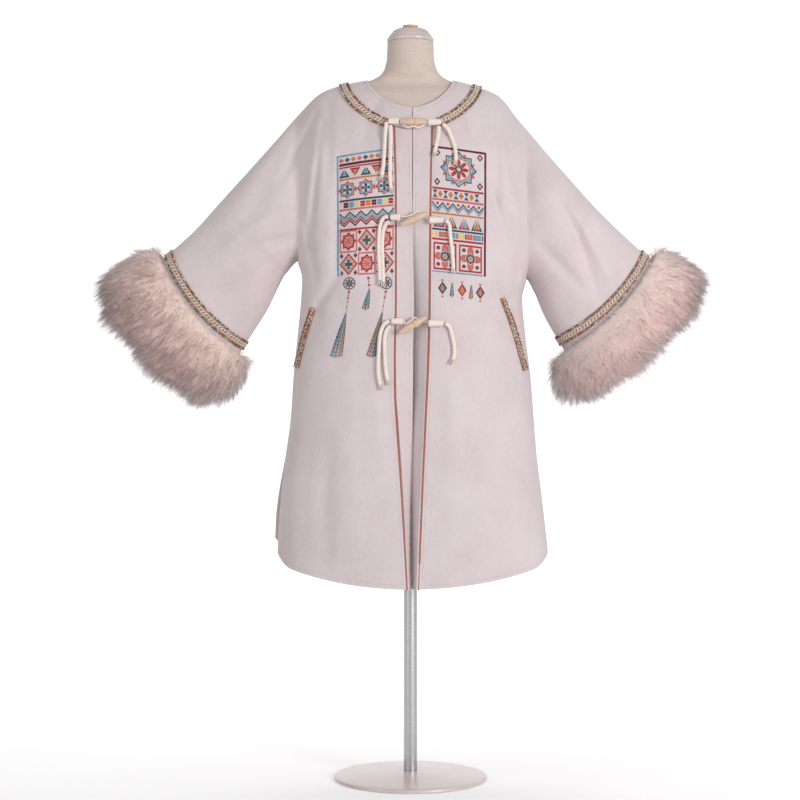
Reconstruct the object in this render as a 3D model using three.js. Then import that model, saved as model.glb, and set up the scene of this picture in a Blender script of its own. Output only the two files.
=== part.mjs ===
// A long wool jacket on a limbless dress form with a pole and a round foot.
// Millimetres, +Z up, the garment faces -Y. The origin is on the floor under the pole.
// "right" and "left" are the wearer's, so the right side is at -X.
// The cloth is a height field: each face of the jacket lies at a depth in front of or behind
// the plane y = 0, where the front and the back meet at the shoulder ridge and the side seams.
import * as THREE from "three";

// ---------------------------------------------------------------- driving sizes
const WALL = 2.5; // felted wool
const SEAM = 0.15; // half the gap between the front and the back
const GAP = 0.3; // between pieces that are sewn together
const HIDDEN_GAP = 0.9; // where a trim covers the seam
const CLOSE_X = 3.4; // where the two fronts meet
const HALF_SLIT = 0.8; // half the gap between the neck border's two ends
const TRIM = { lift: 0.9, thick: 2.2, width: 20 };
const POCKET_TRIM = { lift: 1.2, thick: 2, width: 12 };
const PIPING = { radius: 1.5, room: 1.95, sink: 0.6 };
const ROPE = { radius: 3, sides: 8 };
const LOOP_RADIUS = 1.6;
const LOOP_START = 1.55; // from the whipping's end to the middle of the loop's end
const FORM_BOTTOM = 800;
const POLE = { radius: 14, bottom: 18.3 };
const FOOT = { radius: 160, edge: 8, height: 18 };

// Height of the shoulder and overarm ridge over the distance from the middle.
const RIDGE = [
  { x: 0, right: 1478, left: 1478 },
  { x: 88, right: 1466, left: 1466 },
  { x: 140, right: 1456, left: 1452 },
  { x: 180, right: 1443, left: 1436 },
  { x: 200, right: 1430, left: 1418 },
  { x: 220, right: 1410, left: 1391 },
  { x: 250, right: 1377, left: 1356 },
  { x: 280, right: 1342, left: 1320 },
  { x: 340, right: 1274, left: 1251 },
  { x: 400, right: 1208, left: 1185 },
  { x: 460, right: 1143, left: 1128 },
  { x: 510, right: 1099, left: 1086 },
  { x: 560, right: 1059, left: 1048 },
];
// The underarm line, from inside the body (where no edge shows) to past the sleeve's end.
const UNDERARM = {
  right: [
    { x: 90, z: 1000 },
    { x: 236, z: 1087 },
    { x: 261, z: 1062 },
    { x: 301, z: 984 },
    { x: 348, z: 910 },
    { x: 400, z: 828 },
  ],
  left: [
    { x: 90, z: 970 },
    { x: 243, z: 1050 },
    { x: 261, z: 1020 },
    { x: 280, z: 974 },
    { x: 310, z: 921 },
    { x: 380, z: 808 },
  ],
};
// Half width of the body; above the armpit it only shapes the chest.
const SIDE = [
  { z: 1480, right: 236, left: 236 },
  { z: 1300, right: 240, left: 242 },
  { z: 1087, right: 236, left: 244 },
  { z: 1050, right: 227, left: 243 },
  { z: 1009, right: 229, left: 234 },
  { z: 934, right: 236, left: 240 },
  { z: 845, right: 245, left: 251 },
  { z: 757, right: 251, left: 258 },
  { z: 682, right: 261, left: 264 },
  { z: 606, right: 270, left: 273 },
  { z: 543, right: 275, left: 280 },
  { z: 470, right: 278, left: 287 },
  { z: 400, right: 280, left: 289 },
];
// Depth of the body before and behind the plane of the seams.
const DEPTH = [
  { z: 1480, front: 124, back: 146 },
  { z: 1350, front: 130, back: 150 },
  { z: 1200, front: 148, back: 152 },
  { z: 1050, front: 145, back: 144 },
  { z: 900, front: 144, back: 142 },
  { z: 750, front: 149, back: 146 },
  { z: 550, front: 160, back: 152 },
  { z: 400, front: 166, back: 156 },
];
const ROUND = { front: 230, back: 200, body: 2.6, sleeve: 2.2, blend: 4 };
// Half depth of the sleeve over the distance s along it; s = 0 is the armpit.
const SLEEVE_DEPTH = [
  { s: -250, depth: 0 },
  { s: -150, depth: 52 },
  { s: -50, depth: 88 },
  { s: 0, depth: 90 },
  { s: 60, depth: 84 },
  { s: 200, depth: 68 },
  { s: 260, depth: 66 },
];
// Slope of the sleeve, and where its seam, trim and end cross the ridge and the underarm line.
const SLEEVE = {
  right: { fall: 39.5, armhole: 226, pit: 236, seam: [387, 261], trim: [506, 348], end: [526, 364] },
  left: { fall: 42.5, armhole: 214, pit: 243, seam: [381, 263], trim: [491, 311], end: [512, 328] },
};
const BOW = { seam: 14, end: 20 }; // how far these lines bow out of straight
// How far a line moves in x, at the ridge and at the underarm, for a millimetre along the sleeve.
const TRIM_MOVE = { ridge: 0.74, underarm: 0.56 };
const ARMPIT_Z = { right: 1087, left: 1050, middle: 1068 };

// The round neck: side distance, and drop from the ridge to the middle front and back.
const NECK = { side: 88, front: 71, back: 20 };
const BORDER = { side: 139, front: 106, back: 46, power: 1.7 };
// Hem of the body over the share r of the half width.
const HEM = { middle: 412, rise: 48, power: 2.2, corner: 0.88, cornerRise: 20 };
const BACK_HEM_RISE = 26;
const SLIT = { top: 707, open: 13, flare: 8 };

// Front edges: line of the piping, width of the band and how far it turns inwards, in degrees.
const PLACKET = [
  { z: 1360, right: 34, left: 43.7, rightWide: 35.0, leftWide: 37.6, rightTurn: 0, leftTurn: 0 },
  { z: 1215, right: 30.5, left: 40, rightWide: 31.3, leftWide: 34.1, rightTurn: 0, leftTurn: 0 },
  { z: 1100, right: 30.4, left: 39.2, rightWide: 32.6, leftWide: 34.5, rightTurn: 1, leftTurn: 16 },
  { z: 1000, right: 30.4, left: 38.5, rightWide: 34.5, leftWide: 35, rightTurn: 3, leftTurn: 30 },
  { z: 875, right: 32.8, left: 35.6, rightWide: 35, leftWide: 35, rightTurn: 7, leftTurn: 38 },
  { z: 800, right: 32, left: 32.2, rightWide: 35, leftWide: 35, rightTurn: 19, leftTurn: 45 },
  { z: 760, right: 29.5, left: 30.3, rightWide: 35, leftWide: 35, rightTurn: 32, leftTurn: 49 },
  { z: 600, right: 18.4, left: 22.8, rightWide: 35, leftWide: 35, rightTurn: 63, leftTurn: 62 },
  { z: 500, right: 12.5, left: 18.7, rightWide: 35, leftWide: 35, rightTurn: 76, leftTurn: 69 },
  { z: 405, right: 7.2, left: 15, rightWide: 35, leftWide: 35, rightTurn: 86, leftTurn: 73 },
];

// The largest folds: lines down the face, with width and height (a trough is negative).
const FOLDS = [
  { x: [-190, -222, -236], z: [1365, 1280, 1140], wide: 20, high: -9 },
  { x: [-176, -200, -212], z: [1375, 1280, 1180], wide: 18, high: 7 },
  { x: [-134, -142, -150], z: [1300, 1160, 1000], wide: 22, high: -8 },
  { x: [-150, -190, -203], z: [1060, 1000, 930], wide: 20, high: -7 },
  { x: [-255, -300, -350], z: [1330, 1240, 1120], wide: 24, high: -7 },
  { x: [196, 222, 252], z: [1370, 1270, 1150], wide: 20, high: -9 },
  { x: [182, 204, 228], z: [1370, 1280, 1180], wide: 18, high: 7 },
  { x: [162, 178, 204], z: [1280, 1200, 1140], wide: 18, high: -7 },
  { x: [316, 360, 400], z: [1220, 1130, 1020], wide: 24, high: -8 },
  { x: [172, 196, 214], z: [1040, 1000, 900], wide: 20, high: -6 },
  { x: [-110, -122, -118], z: [860, 680, 440], wide: 42, high: 5 },
  { x: [-200, -214, -218], z: [820, 640, 470], wide: 34, high: -5 },
  { x: [120, 134, 140], z: [860, 680, 440], wide: 44, high: 5 },
  { x: [196, 216, 224], z: [800, 640, 470], wide: 36, high: -5 },
];
const BACK_FOLDS = [
  { x: [-190, -205, -226], z: [1360, 1260, 1120], wide: 22, high: -9 },
  { x: [188, 204, 230], z: [1360, 1260, 1110], wide: 22, high: -9 },
  { x: [-60, -66, -58], z: [1300, 900, 460], wide: 46, high: 6 },
  { x: [72, 80, 90], z: [1250, 850, 460], wide: 50, high: 6 },
  { x: [0, 8, 4], z: [1200, 850, 450], wide: 36, high: -7 },
  { x: [-300, -360, -400], z: [1260, 1150, 1060], wide: 24, high: -7 },
  { x: [300, 350, 390], z: [1240, 1130, 1030], wide: 24, high: -7 },
];

// Pocket mouths, down the sides of the fronts.
const POCKETS = [
  { name: "right", x: [-200, -219, -236], z: [984, 925, 862] },
  { name: "left", x: [188, 212, 236], z: [1004, 940, 856] },
];
// Profile of the fur round the sleeve's end: past the end, and out from the cloth.
const FUR = [
  { past: 1.6, out: -10 },
  { past: 0.8, out: 2.4 },
  { past: -8, out: 6 },
  { past: -12, out: 20 },
  { past: 6, out: 42 },
  { past: 40, out: 56 },
  { past: 84, out: 60 },
  { past: 124, out: 52 },
  { past: 152, out: 30 },
  { past: 162, out: 6 },
  { past: 150, out: -16 },
  { past: 110, out: -26 },
  { past: 60, out: -26 },
  { past: 20, out: -20 },
];
// Share of that profile at the ridge and at the underarm, past the end and out from the cloth.
const FUR_SHARE = {
  right: { past: [0.98, 0.84], out: [1, 1] },
  left: { past: [0.8, 0.7], out: [1, 1.38] },
};
const FUR_LUMPS = { count: 5, height: 0.09 };
const FUR_HOLLOW = 78; // how far in the fur would close the sleeve's mouth

// Toggles, and the x of the inner and outer end and the height of each whipped rope end.
const TOGGLES = [
  {
    name: "top", x: 5.5, z: 1361, long: 56, tilt: 0, loop: -1,
    right: { near: -24, far: -46, z: 1363 },
    left: { near: 35, far: 62, z: 1361 },
  },
  {
    name: "middle", x: 6.5, z: 1160, long: 59, tilt: 24, loop: 1,
    right: { near: -22, far: -42, z: 1164 },
    left: { near: 37, far: 66, z: 1158 },
  },
  {
    name: "low", x: 3.8, z: 946, long: 63, tilt: 31, loop: 1,
    right: { near: -16, far: -40, z: 954 },
    left: { near: 35, far: 66, z: 950 },
  },
];
const TOGGLE = { thick: 8, tip: 4, groove: 6.4, off: 13.4 };
const KNOT = { radius: 5.4, off: 6.6 };
const OVER_TRIM = 4.2; // what lies over the neck trim is this much further out
// Hanging rope ends: the x and z of their routes down the cloth.
const TAILS = [
  { name: "top_right_1", x: [-49.6, -52, -53, -54.5, -57, -61], z: [1360, 1340, 1320, 1290, 1260, 1239] },
  { name: "top_right_2", x: [-42, -41, -41.5, -42, -42, -38.5], z: [1353.3, 1335, 1300, 1270, 1240, 1214] },
  { name: "top_left_1", x: [57, 56, 53, 50, 47], z: [1351.6, 1335, 1320, 1305, 1290] },
  { name: "top_left_2", x: [66, 76, 84, 90, 91, 90], z: [1357, 1345, 1326, 1305, 1285, 1270] },
  { name: "middle_right_1", x: [-46, -55, -62, -65, -64, -62.5], z: [1165, 1163, 1148, 1114, 1072, 1027] },
  { name: "middle_right_2", x: [-43, -49, -55.5, -58, -57, -55], z: [1154.2, 1152, 1138, 1110, 1070, 1024] },
  { name: "middle_left", x: [70, 77, 79.5, 83, 85.5, 86], z: [1158, 1151, 1130, 1100, 1070, 1051] },
  { name: "low_right_1", x: [-44, -54, -61, -65, -66, -60.5], z: [955, 948, 932, 894, 850, 816] },
  { name: "low_right_2", x: [-41, -47, -52.5, -53, -50, -45], z: [944, 939, 925, 892, 850, 826] },
  { name: "low_left", x: [70, 78, 84, 88, 86, 79], z: [950, 943, 922, 898, 880, 868] },
];
const TAIL_LIFT = 0.6; // clear of the cloth's facets

// The form: half width and half depths over the height; the shoulders follow the ridge.
const TORSO = [
  { z: 1545, right: 48.5, left: 48.5, front: 48.5, back: 48.5 },
  { z: 1515, right: 49.5, left: 49.5, front: 49.5, back: 49 },
  { z: 1492, right: 54, left: 54, front: 52, back: 51 },
  { z: 1476, right: 64, left: 64, front: 54, back: 53 },
  { z: 1462, right: 92, left: 88, front: 46, back: 50 },
  { z: 1454, right: 124, left: 116, front: 47, back: 52 },
  { z: 1446, right: 153.5, left: 139, front: 53, back: 55 },
  { z: 1436, right: 175, left: 164, front: 64, back: 62 },
  { z: 1424, right: 182, left: 174, front: 72, back: 70 },
  { z: 1405, right: 182, left: 178, front: 82, back: 82 },
  { z: 1360, right: 174, left: 172, front: 96, back: 98 },
  { z: 1300, right: 160, left: 160, front: 112, back: 106 },
  { z: 1220, right: 156, left: 156, front: 124, back: 104 },
  { z: 1120, right: 132, left: 132, front: 100, back: 92 },
  { z: 1040, right: 122, left: 122, front: 92, back: 86 },
  { z: 950, right: 150, left: 150, front: 104, back: 102 },
  { z: 860, right: 166, left: 166, front: 112, back: 116 },
  { z: 812, right: 162, left: 162, front: 110, back: 112 },
  { z: 800, right: 152, left: 152, front: 102, back: 104 },
];
// Turned cap on the neck: radius over height.
const CAP = [
  { r: 47.5, z: 1545.3 },
  { r: 49.5, z: 1548 },
  { r: 49.5, z: 1553 },
  { r: 46, z: 1556.5 },
  { r: 44, z: 1561 },
  { r: 40, z: 1564 },
  { r: 38, z: 1569 },
  { r: 30, z: 1573 },
  { r: 20, z: 1575 },
];
const CAP_PEG = { radius: 17, bottom: 1575.3, top: 1581 };

// How many steps the surfaces take.
const STEPS = { body: 9, sleeve: 5, chest: 10, skirt: 12, lower: 6, neck: 9, placket: 16 };
const RING_STEPS = 2 * STEPS.chest; // round a sleeve

// ---------------------------------------------------------------- small mathematics
const mix = (a, b, t) => a + (b - a) * t;
const clamp = (v, low, high) => Math.min(high, Math.max(low, v));
const smooth = (v) => clamp(v, 0, 1) ** 2 * (3 - 2 * clamp(v, 0, 1));
const radians = THREE.MathUtils.degToRad;
// Share of full depth at the share r of the way to the edge: a superellipse.
const bulge = (r, power) => (1 - Math.min(1, Math.abs(r)) ** power) ** (1 / power);

// A smooth curve through a table's rows that never overshoots them.
function curve(table, from, to) {
  const rows = [...table].sort((a, b) => a[from] - b[from]);
  const x = rows.map((row) => row[from]);
  const y = rows.map((row) => row[to]);
  const rise = x.slice(1).map((v, i) => (y[i + 1] - y[i]) / (v - x[i]));
  const slope = x.map((_, i) => {
    const before = rise[Math.max(0, i - 1)];
    const after = rise[Math.min(rise.length - 1, i)];
    return before * after <= 0 ? 0 : (2 * before * after) / (before + after);
  });
  slope[0] = rise[0];
  slope[x.length - 1] = rise[rise.length - 1];
  return (v) => {
    if (v <= x[0]) return y[0] + slope[0] * (v - x[0]);
    const last = x.length - 1;
    if (v >= x[last]) return y[last] + slope[last] * (v - x[last]);
    const i = x.findIndex((end) => end > v) - 1;
    const wide = x[i + 1] - x[i];
    const t = (v - x[i]) / wide;
    return (
      y[i] * (1 + 2 * t) * (1 - t) ** 2 +
      slope[i] * wide * t * (1 - t) ** 2 +
      y[i + 1] * t * t * (3 - 2 * t) -
      slope[i + 1] * wide * t * t * (1 - t)
    );
  };
}

// ---------------------------------------------------------------- the cloth's form
const SIDES = { right: -1, left: 1 };
const sideOf = (x) => (x < 0 ? "right" : "left");
const ridge = { right: curve(RIDGE, "x", "right"), left: curve(RIDGE, "x", "left") };
const underarm = { right: curve(UNDERARM.right, "x", "z"), left: curve(UNDERARM.left, "x", "z") };
const halfWidth = { right: curve(SIDE, "z", "right"), left: curve(SIDE, "z", "left") };
const bodyDepth = { front: curve(DEPTH, "z", "front"), back: curve(DEPTH, "z", "back") };
const sleeveDepth = curve(SLEEVE_DEPTH, "s", "depth");

// A sleeve's own coordinates: s along it from the armpit, t across it, growing upwards.
function sleeveFrame(side) {
  const { fall, pit } = SLEEVE[side];
  const cos = Math.cos(radians(fall));
  const sin = Math.sin(radians(fall));
  const start = cos * pit - sin * ARMPIT_Z[side];
  const to = (x, z) => ({ s: cos * x - sin * z - start, t: sin * x + cos * z });
  const rows = RIDGE.filter((row) => row.x >= 88).map((row) => to(row.x, row[side]));
  const low = UNDERARM[side].map((row) => to(row.x, row.z));
  low[0] = { s: -320, t: low[1].t - 200 };
  return { to, top: curve(rows, "s", "t"), low: curve(low, "s", "t"), along: [cos, -sin] };
}
const frames = { right: sleeveFrame("right"), left: sleeveFrame("left") };

// Distance from a point of the face to a fold's line, and how far along it the foot lies.
function foldHeight(fold, x, z) {
  let near = Infinity;
  let share = 0;
  for (let i = 0; i + 1 < fold.x.length; i++) {
    const dx = fold.x[i + 1] - fold.x[i];
    const dz = fold.z[i + 1] - fold.z[i];
    const t = clamp(((x - fold.x[i]) * dx + (z - fold.z[i]) * dz) / (dx * dx + dz * dz), 0, 1);
    const away = Math.hypot(x - fold.x[i] - t * dx, z - fold.z[i] - t * dz);
    if (away < near) {
      near = away;
      share = (i + t) / (fold.x.length - 1);
    }
  }
  const fade = Math.sin(Math.PI * mix(0.12, 0.88, share));
  return fold.high * Math.exp(-((near / fold.wide) ** 2)) * fade;
}

// Depth of a face at a place: the body and the sleeve blended, with the folds laid on.
function depth(x, z, face) {
  const side = sideOf(x);
  const far = Math.abs(x);
  const above = (ridge[side](far) - z) / ROUND[face];
  const cap = above >= 1 ? 1 : Math.sqrt(Math.max(0, 1 - (1 - above) ** 2));
  const body = bodyDepth[face](z) * bulge(far / halfWidth[side](z), ROUND.body) * cap;
  const { to, top, low } = frames[side];
  const { s, t } = to(far, z);
  const half = (top(s) - low(s)) / 2;
  const across = (t - low(s) - half) / half;
  const sleeve = Math.max(0, sleeveDepth(clamp(s, -250, 300))) * bulge(across, ROUND.sleeve);
  const plain = (body ** ROUND.blend + sleeve ** ROUND.blend) ** (1 / ROUND.blend);
  const folds = face === "front" ? FOLDS : BACK_FOLDS;
  const relief = folds.reduce((sum, fold) => sum + foldHeight(fold, x, z), 0);
  return plain + relief * smooth((plain - 8) / 40);
}

// How far the side slit stands open there.
function slitOpen(x, z) {
  const share = Math.abs(x) / halfWidth[sideOf(x)](z);
  return SLIT.open * smooth((SLIT.top - z) / (SLIT.top - HEM.middle)) * clamp(share, 0, 1) ** 6;
}

const FACE = { front: -1, back: 1 };
// Outer surface of a face, moved out by lift. On the ridge itself both faces give the same point.
function skin(x, z, face, lift = 0, onRidge = false) {
  const at = (px, pz) => FACE[face] * (SEAM + depth(px, pz, face) + slitOpen(px, pz));
  const point = new THREE.Vector3(x, onRidge ? 0 : at(x, z), z);
  if (!lift) return point;
  const step = 2;
  const slopeX = (at(x + step, z) - at(x - step, z)) / (2 * step);
  const slopeZ = (at(x, z + step) - at(x, z - step)) / (2 * step);
  const out = new THREE.Vector3(-slopeX, 1, -slopeZ).multiplyScalar(FACE[face]);
  if (onRidge) out.y = 0;
  return point.addScaledVector(out.normalize(), lift);
}

// ---------------------------------------------------------------- surfaces to solids
// Points on a grid of rows and columns, joined by quads that face out.
function patch(rows, columns, pointAt, { flip = false, closed = false, keep = () => true } = {}) {
  const points = [];
  for (let r = 0; r <= rows; r++)
    for (let c = 0; c < columns + (closed ? 0 : 1); c++) points.push(pointAt(r, c));
  const wide = columns + (closed ? 0 : 1);
  const quads = [];
  for (let r = 0; r < rows; r++)
    for (let c = 0; c < columns; c++) {
      if (!keep(r, c)) continue;
      const d = (c + 1) % wide;
      const quad = [r * wide + c, (r + 1) * wide + c, (r + 1) * wide + d, r * wide + d];
      quads.push(flip ? quad.reverse() : quad);
    }
  return { points, quads };
}

// Joins patches whose edges lie on each other.
function weld(...patches) {
  const seen = new Map();
  const points = [];
  const quads = [];
  for (const part of patches) {
    const index = part.points.map((point) => {
      const key = point.toArray().map((v) => Math.round(v * 200)).join();
      if (!seen.has(key)) {
        seen.set(key, points.length);
        points.push(point);
      }
      return seen.get(key);
    });
    for (const quad of part.quads) quads.push(quad.map((i) => index[i]));
  }
  return { points, quads };
}

function geometryOf(points, faces) {
  const geometry = new THREE.BufferGeometry();
  const places = points.flatMap((p) => p.toArray());
  geometry.setAttribute("position", new THREE.Float32BufferAttribute(places, 3));
  geometry.setIndex(faces);
  const plain = geometry.toNonIndexed();
  plain.computeVertexNormals();
  return plain;
}

// Gives a surface a wall on its inner side. Points in the seam plane move within it.
function walled({ points, quads }, wall = WALL) {
  const used = [...new Set(quads.flat())];
  const place = new Map(used.map((old, i) => [old, i]));
  const outer = used.map((i) => points[i]);
  const faces = quads.map((quad) => quad.map((i) => place.get(i)));
  const normals = outer.map(() => new THREE.Vector3());
  for (const [a, b, c, d] of faces) {
    const across = outer[c].clone().sub(outer[a]).cross(outer[d].clone().sub(outer[b]));
    for (const i of [a, b, c, d]) normals[i].add(across);
  }
  outer.forEach((point, i) => {
    if (Math.abs(point.y) < 2 * SEAM) normals[i].y = 0;
    normals[i].normalize();
  });
  const inner = outer.map((point, i) => point.clone().addScaledVector(normals[i], -wall));
  const count = outer.length;
  const index = [];
  const edges = new Set();
  for (const [a, b, c, d] of faces) {
    index.push(a, b, c, a, c, d);
    index.push(count + a, count + c, count + b, count + a, count + d, count + c);
    for (const pair of [[a, b], [b, c], [c, d], [d, a]]) if (pair[0] !== pair[1]) edges.add(pair.join());
  }
  for (const edge of edges) {
    const [a, b] = edge.split(",").map(Number);
    if (edges.has(`${b},${a}`)) continue;
    index.push(b, a, count + a, b, count + a, count + b);
  }
  return geometryOf([...outer, ...inner], index);
}

// A closed solid through rings of points; its ends are closed with fans, or it closes on itself.
function loft(rings, { round = false } = {}) {
  const wide = rings[0].length;
  const points = rings.flat();
  const index = [];
  const last = rings.length - (round ? 0 : 1);
  for (let r = 0; r < last; r++)
    for (let c = 0; c < wide; c++) {
      const d = (c + 1) % wide;
      const up = ((r + 1) % rings.length) * wide;
      index.push(r * wide + c, r * wide + d, up + d, r * wide + c, up + d, up + c);
    }
  if (!round)
    for (const [ring, start] of [[rings[0], 0], [rings.at(-1), (rings.length - 1) * wide]]) {
      const middle = ring.reduce((sum, p) => sum.add(p), new THREE.Vector3()).divideScalar(wide);
      const centre = points.push(middle) - 1;
      for (let c = 0; c < wide; c++) {
        const d = (c + 1) % wide;
        if (start) index.push(start + c, start + d, centre);
        else index.push(start + d, start + c, centre);
      }
    }
  return facingOut(geometryOf(points, index));
}

// Turns a closed mesh the right way round if its faces point in.
function facingOut(geometry) {
  const p = geometry.attributes.position;
  const [a, b, c] = [0, 1, 2].map(() => new THREE.Vector3());
  let volume = 0;
  for (let i = 0; i < p.count; i += 3) {
    a.fromBufferAttribute(p, i);
    b.fromBufferAttribute(p, i + 1);
    c.fromBufferAttribute(p, i + 2);
    volume += a.dot(b.cross(c));
  }
  if (volume > 0) return geometry;
  for (let i = 0; i < p.count; i += 3) {
    b.fromBufferAttribute(p, i + 1);
    c.fromBufferAttribute(p, i + 2);
    p.setXYZ(i + 1, c.x, c.y, c.z);
    p.setXYZ(i + 2, b.x, b.y, b.z);
  }
  geometry.computeVertexNormals();
  return geometry;
}

// A round rope through its route's points.
function rope(route, radius, sides = ROPE.sides, steps = 5) {
  const path = new THREE.CatmullRomCurve3(route);
  const section = new THREE.Shape();
  for (let i = 0; i < sides; i++) {
    const turn = (2 * Math.PI * i) / sides;
    const at = [radius * Math.cos(turn), radius * Math.sin(turn)];
    if (i) section.lineTo(...at);
    else section.moveTo(...at);
  }
  section.closePath();
  const options = { steps: steps * (route.length - 1), extrudePath: path, bevelEnabled: false };
  return new THREE.ExtrudeGeometry(section, options);
}

// ---------------------------------------------------------------- materials
const finish = (color, roughness, metalness = 0) =>
  new THREE.MeshStandardMaterial({ color, roughness, metalness });
const MATERIALS = {
  wool: finish("#e2dad6", 0.95),
  braid: finish("#cdbfae", 0.9),
  piping: finish("#b96a5c", 0.85),
  fur: finish("#d8bdb6", 1),
  rope: finish("#ddd3c8", 0.9),
  wood: finish("#e0c4a4", 0.55),
  linen: finish("#cfc0b4", 0.9),
  lacquer: finish("#dcccc8", 0.35),
  steel: finish("#b9b9bb", 0.3, 1),
};

const jacket = new THREE.Group();
const form = new THREE.Group();
const part = new THREE.Group();
part.add(jacket, form);

function add(group, name, geometry, material) {
  const mesh = new THREE.Mesh(geometry, MATERIALS[material]);
  mesh.name = name;
  group.add(mesh);
  return mesh;
}

// ---------------------------------------------------------------- neck border
// A ring round the neck: side distance, drops and the turn from the middle front (0),
// over the ridge (90 degrees) to the middle back (180).
function neckRing(reach, turn, side, close = 0) {
  const back = turn > Math.PI / 2;
  const wide = reach.side * Math.sin(turn) ** (2 / BORDER.power);
  const drop = (back ? reach.back : reach.front) * Math.abs(Math.cos(turn)) ** (2 / BORDER.power);
  const shift = back ? 0 : close * (1 - wide / reach.side);
  const x = SIDES[side] * wide + shift;
  const middle = (ridge.right(reach.side) + ridge.left(reach.side)) / 2;
  const z = mix(middle, ridge[side](reach.side), wide / reach.side) - drop;
  return { x, z, face: back ? "back" : "front" };
}
const reachAt = (side) => {
  const share = (side - NECK.side) / (BORDER.side - NECK.side);
  return { side, front: mix(NECK.front, BORDER.front, share), back: mix(NECK.back, BORDER.back, share) };
};
// The turns lie closer together near the ridge, where the cloth rounds over.
function aroundNeck(columns, inner, outer, lift, front, close) {
  const ease = Array.from({ length: STEPS.neck + 1 }, (_, i) => (i / STEPS.neck) ** 1.6);
  const forward = ease.map((share) => mix(Math.PI / 2, front, share)).reverse();
  const turns = [...forward, ...ease.slice(1).map((share) => mix(Math.PI / 2, Math.PI, share))];
  const path = [
    ...turns.map((turn) => ({ turn, side: "right" })),
    ...turns.slice(0, -1).reverse().map((turn) => ({ turn, side: "left" })),
  ];
  return patch(columns, path.length - 1, (r, c) => {
    const { turn, side } = path[c];
    const reach = reachAt(mix(inner, outer, r / columns));
    const { x, z, face } = neckRing(reach, turn, side, close + SIDES[side] * HALF_SLIT);
    return skin(x, z, face, lift, turn === Math.PI / 2);
  });
}

function neckBorder() {
  add(jacket, "neck_border", walled(aroundNeck(3, NECK.side, BORDER.side, 0, 0, CLOSE_X)), "wool");
  const half = TRIM.width / 2;
  const front = Math.asin((47 / BORDER.side) ** (BORDER.power / 2));
  const strip = aroundNeck(2, BORDER.side - half, BORDER.side + half, TRIM.lift + TRIM.thick, front, 0);
  add(jacket, "neck_trim", walled(strip, TRIM.thick), "braid");
}

// ---------------------------------------------------------------- fronts and back
const pipingX = { right: curve(PLACKET, "z", "right"), left: curve(PLACKET, "z", "left") };

// Places from the distance x0 to the edge, closer together where the body rounds away.
function across(x0, edge, share) {
  const start = Math.asin((x0 / edge) ** (ROUND.body / 2));
  return edge * Math.sin(mix(start, Math.PI / 2, share)) ** (2 / ROUND.body);
}

function hem(share, face) {
  const corner = Math.max(0, (share - HEM.corner) / (1 - HEM.corner)) ** 2 * HEM.cornerRise;
  return HEM.middle + HEM.rise * share ** HEM.power + corner + (face === "back" ? BACK_HEM_RISE : 0);
}

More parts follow.
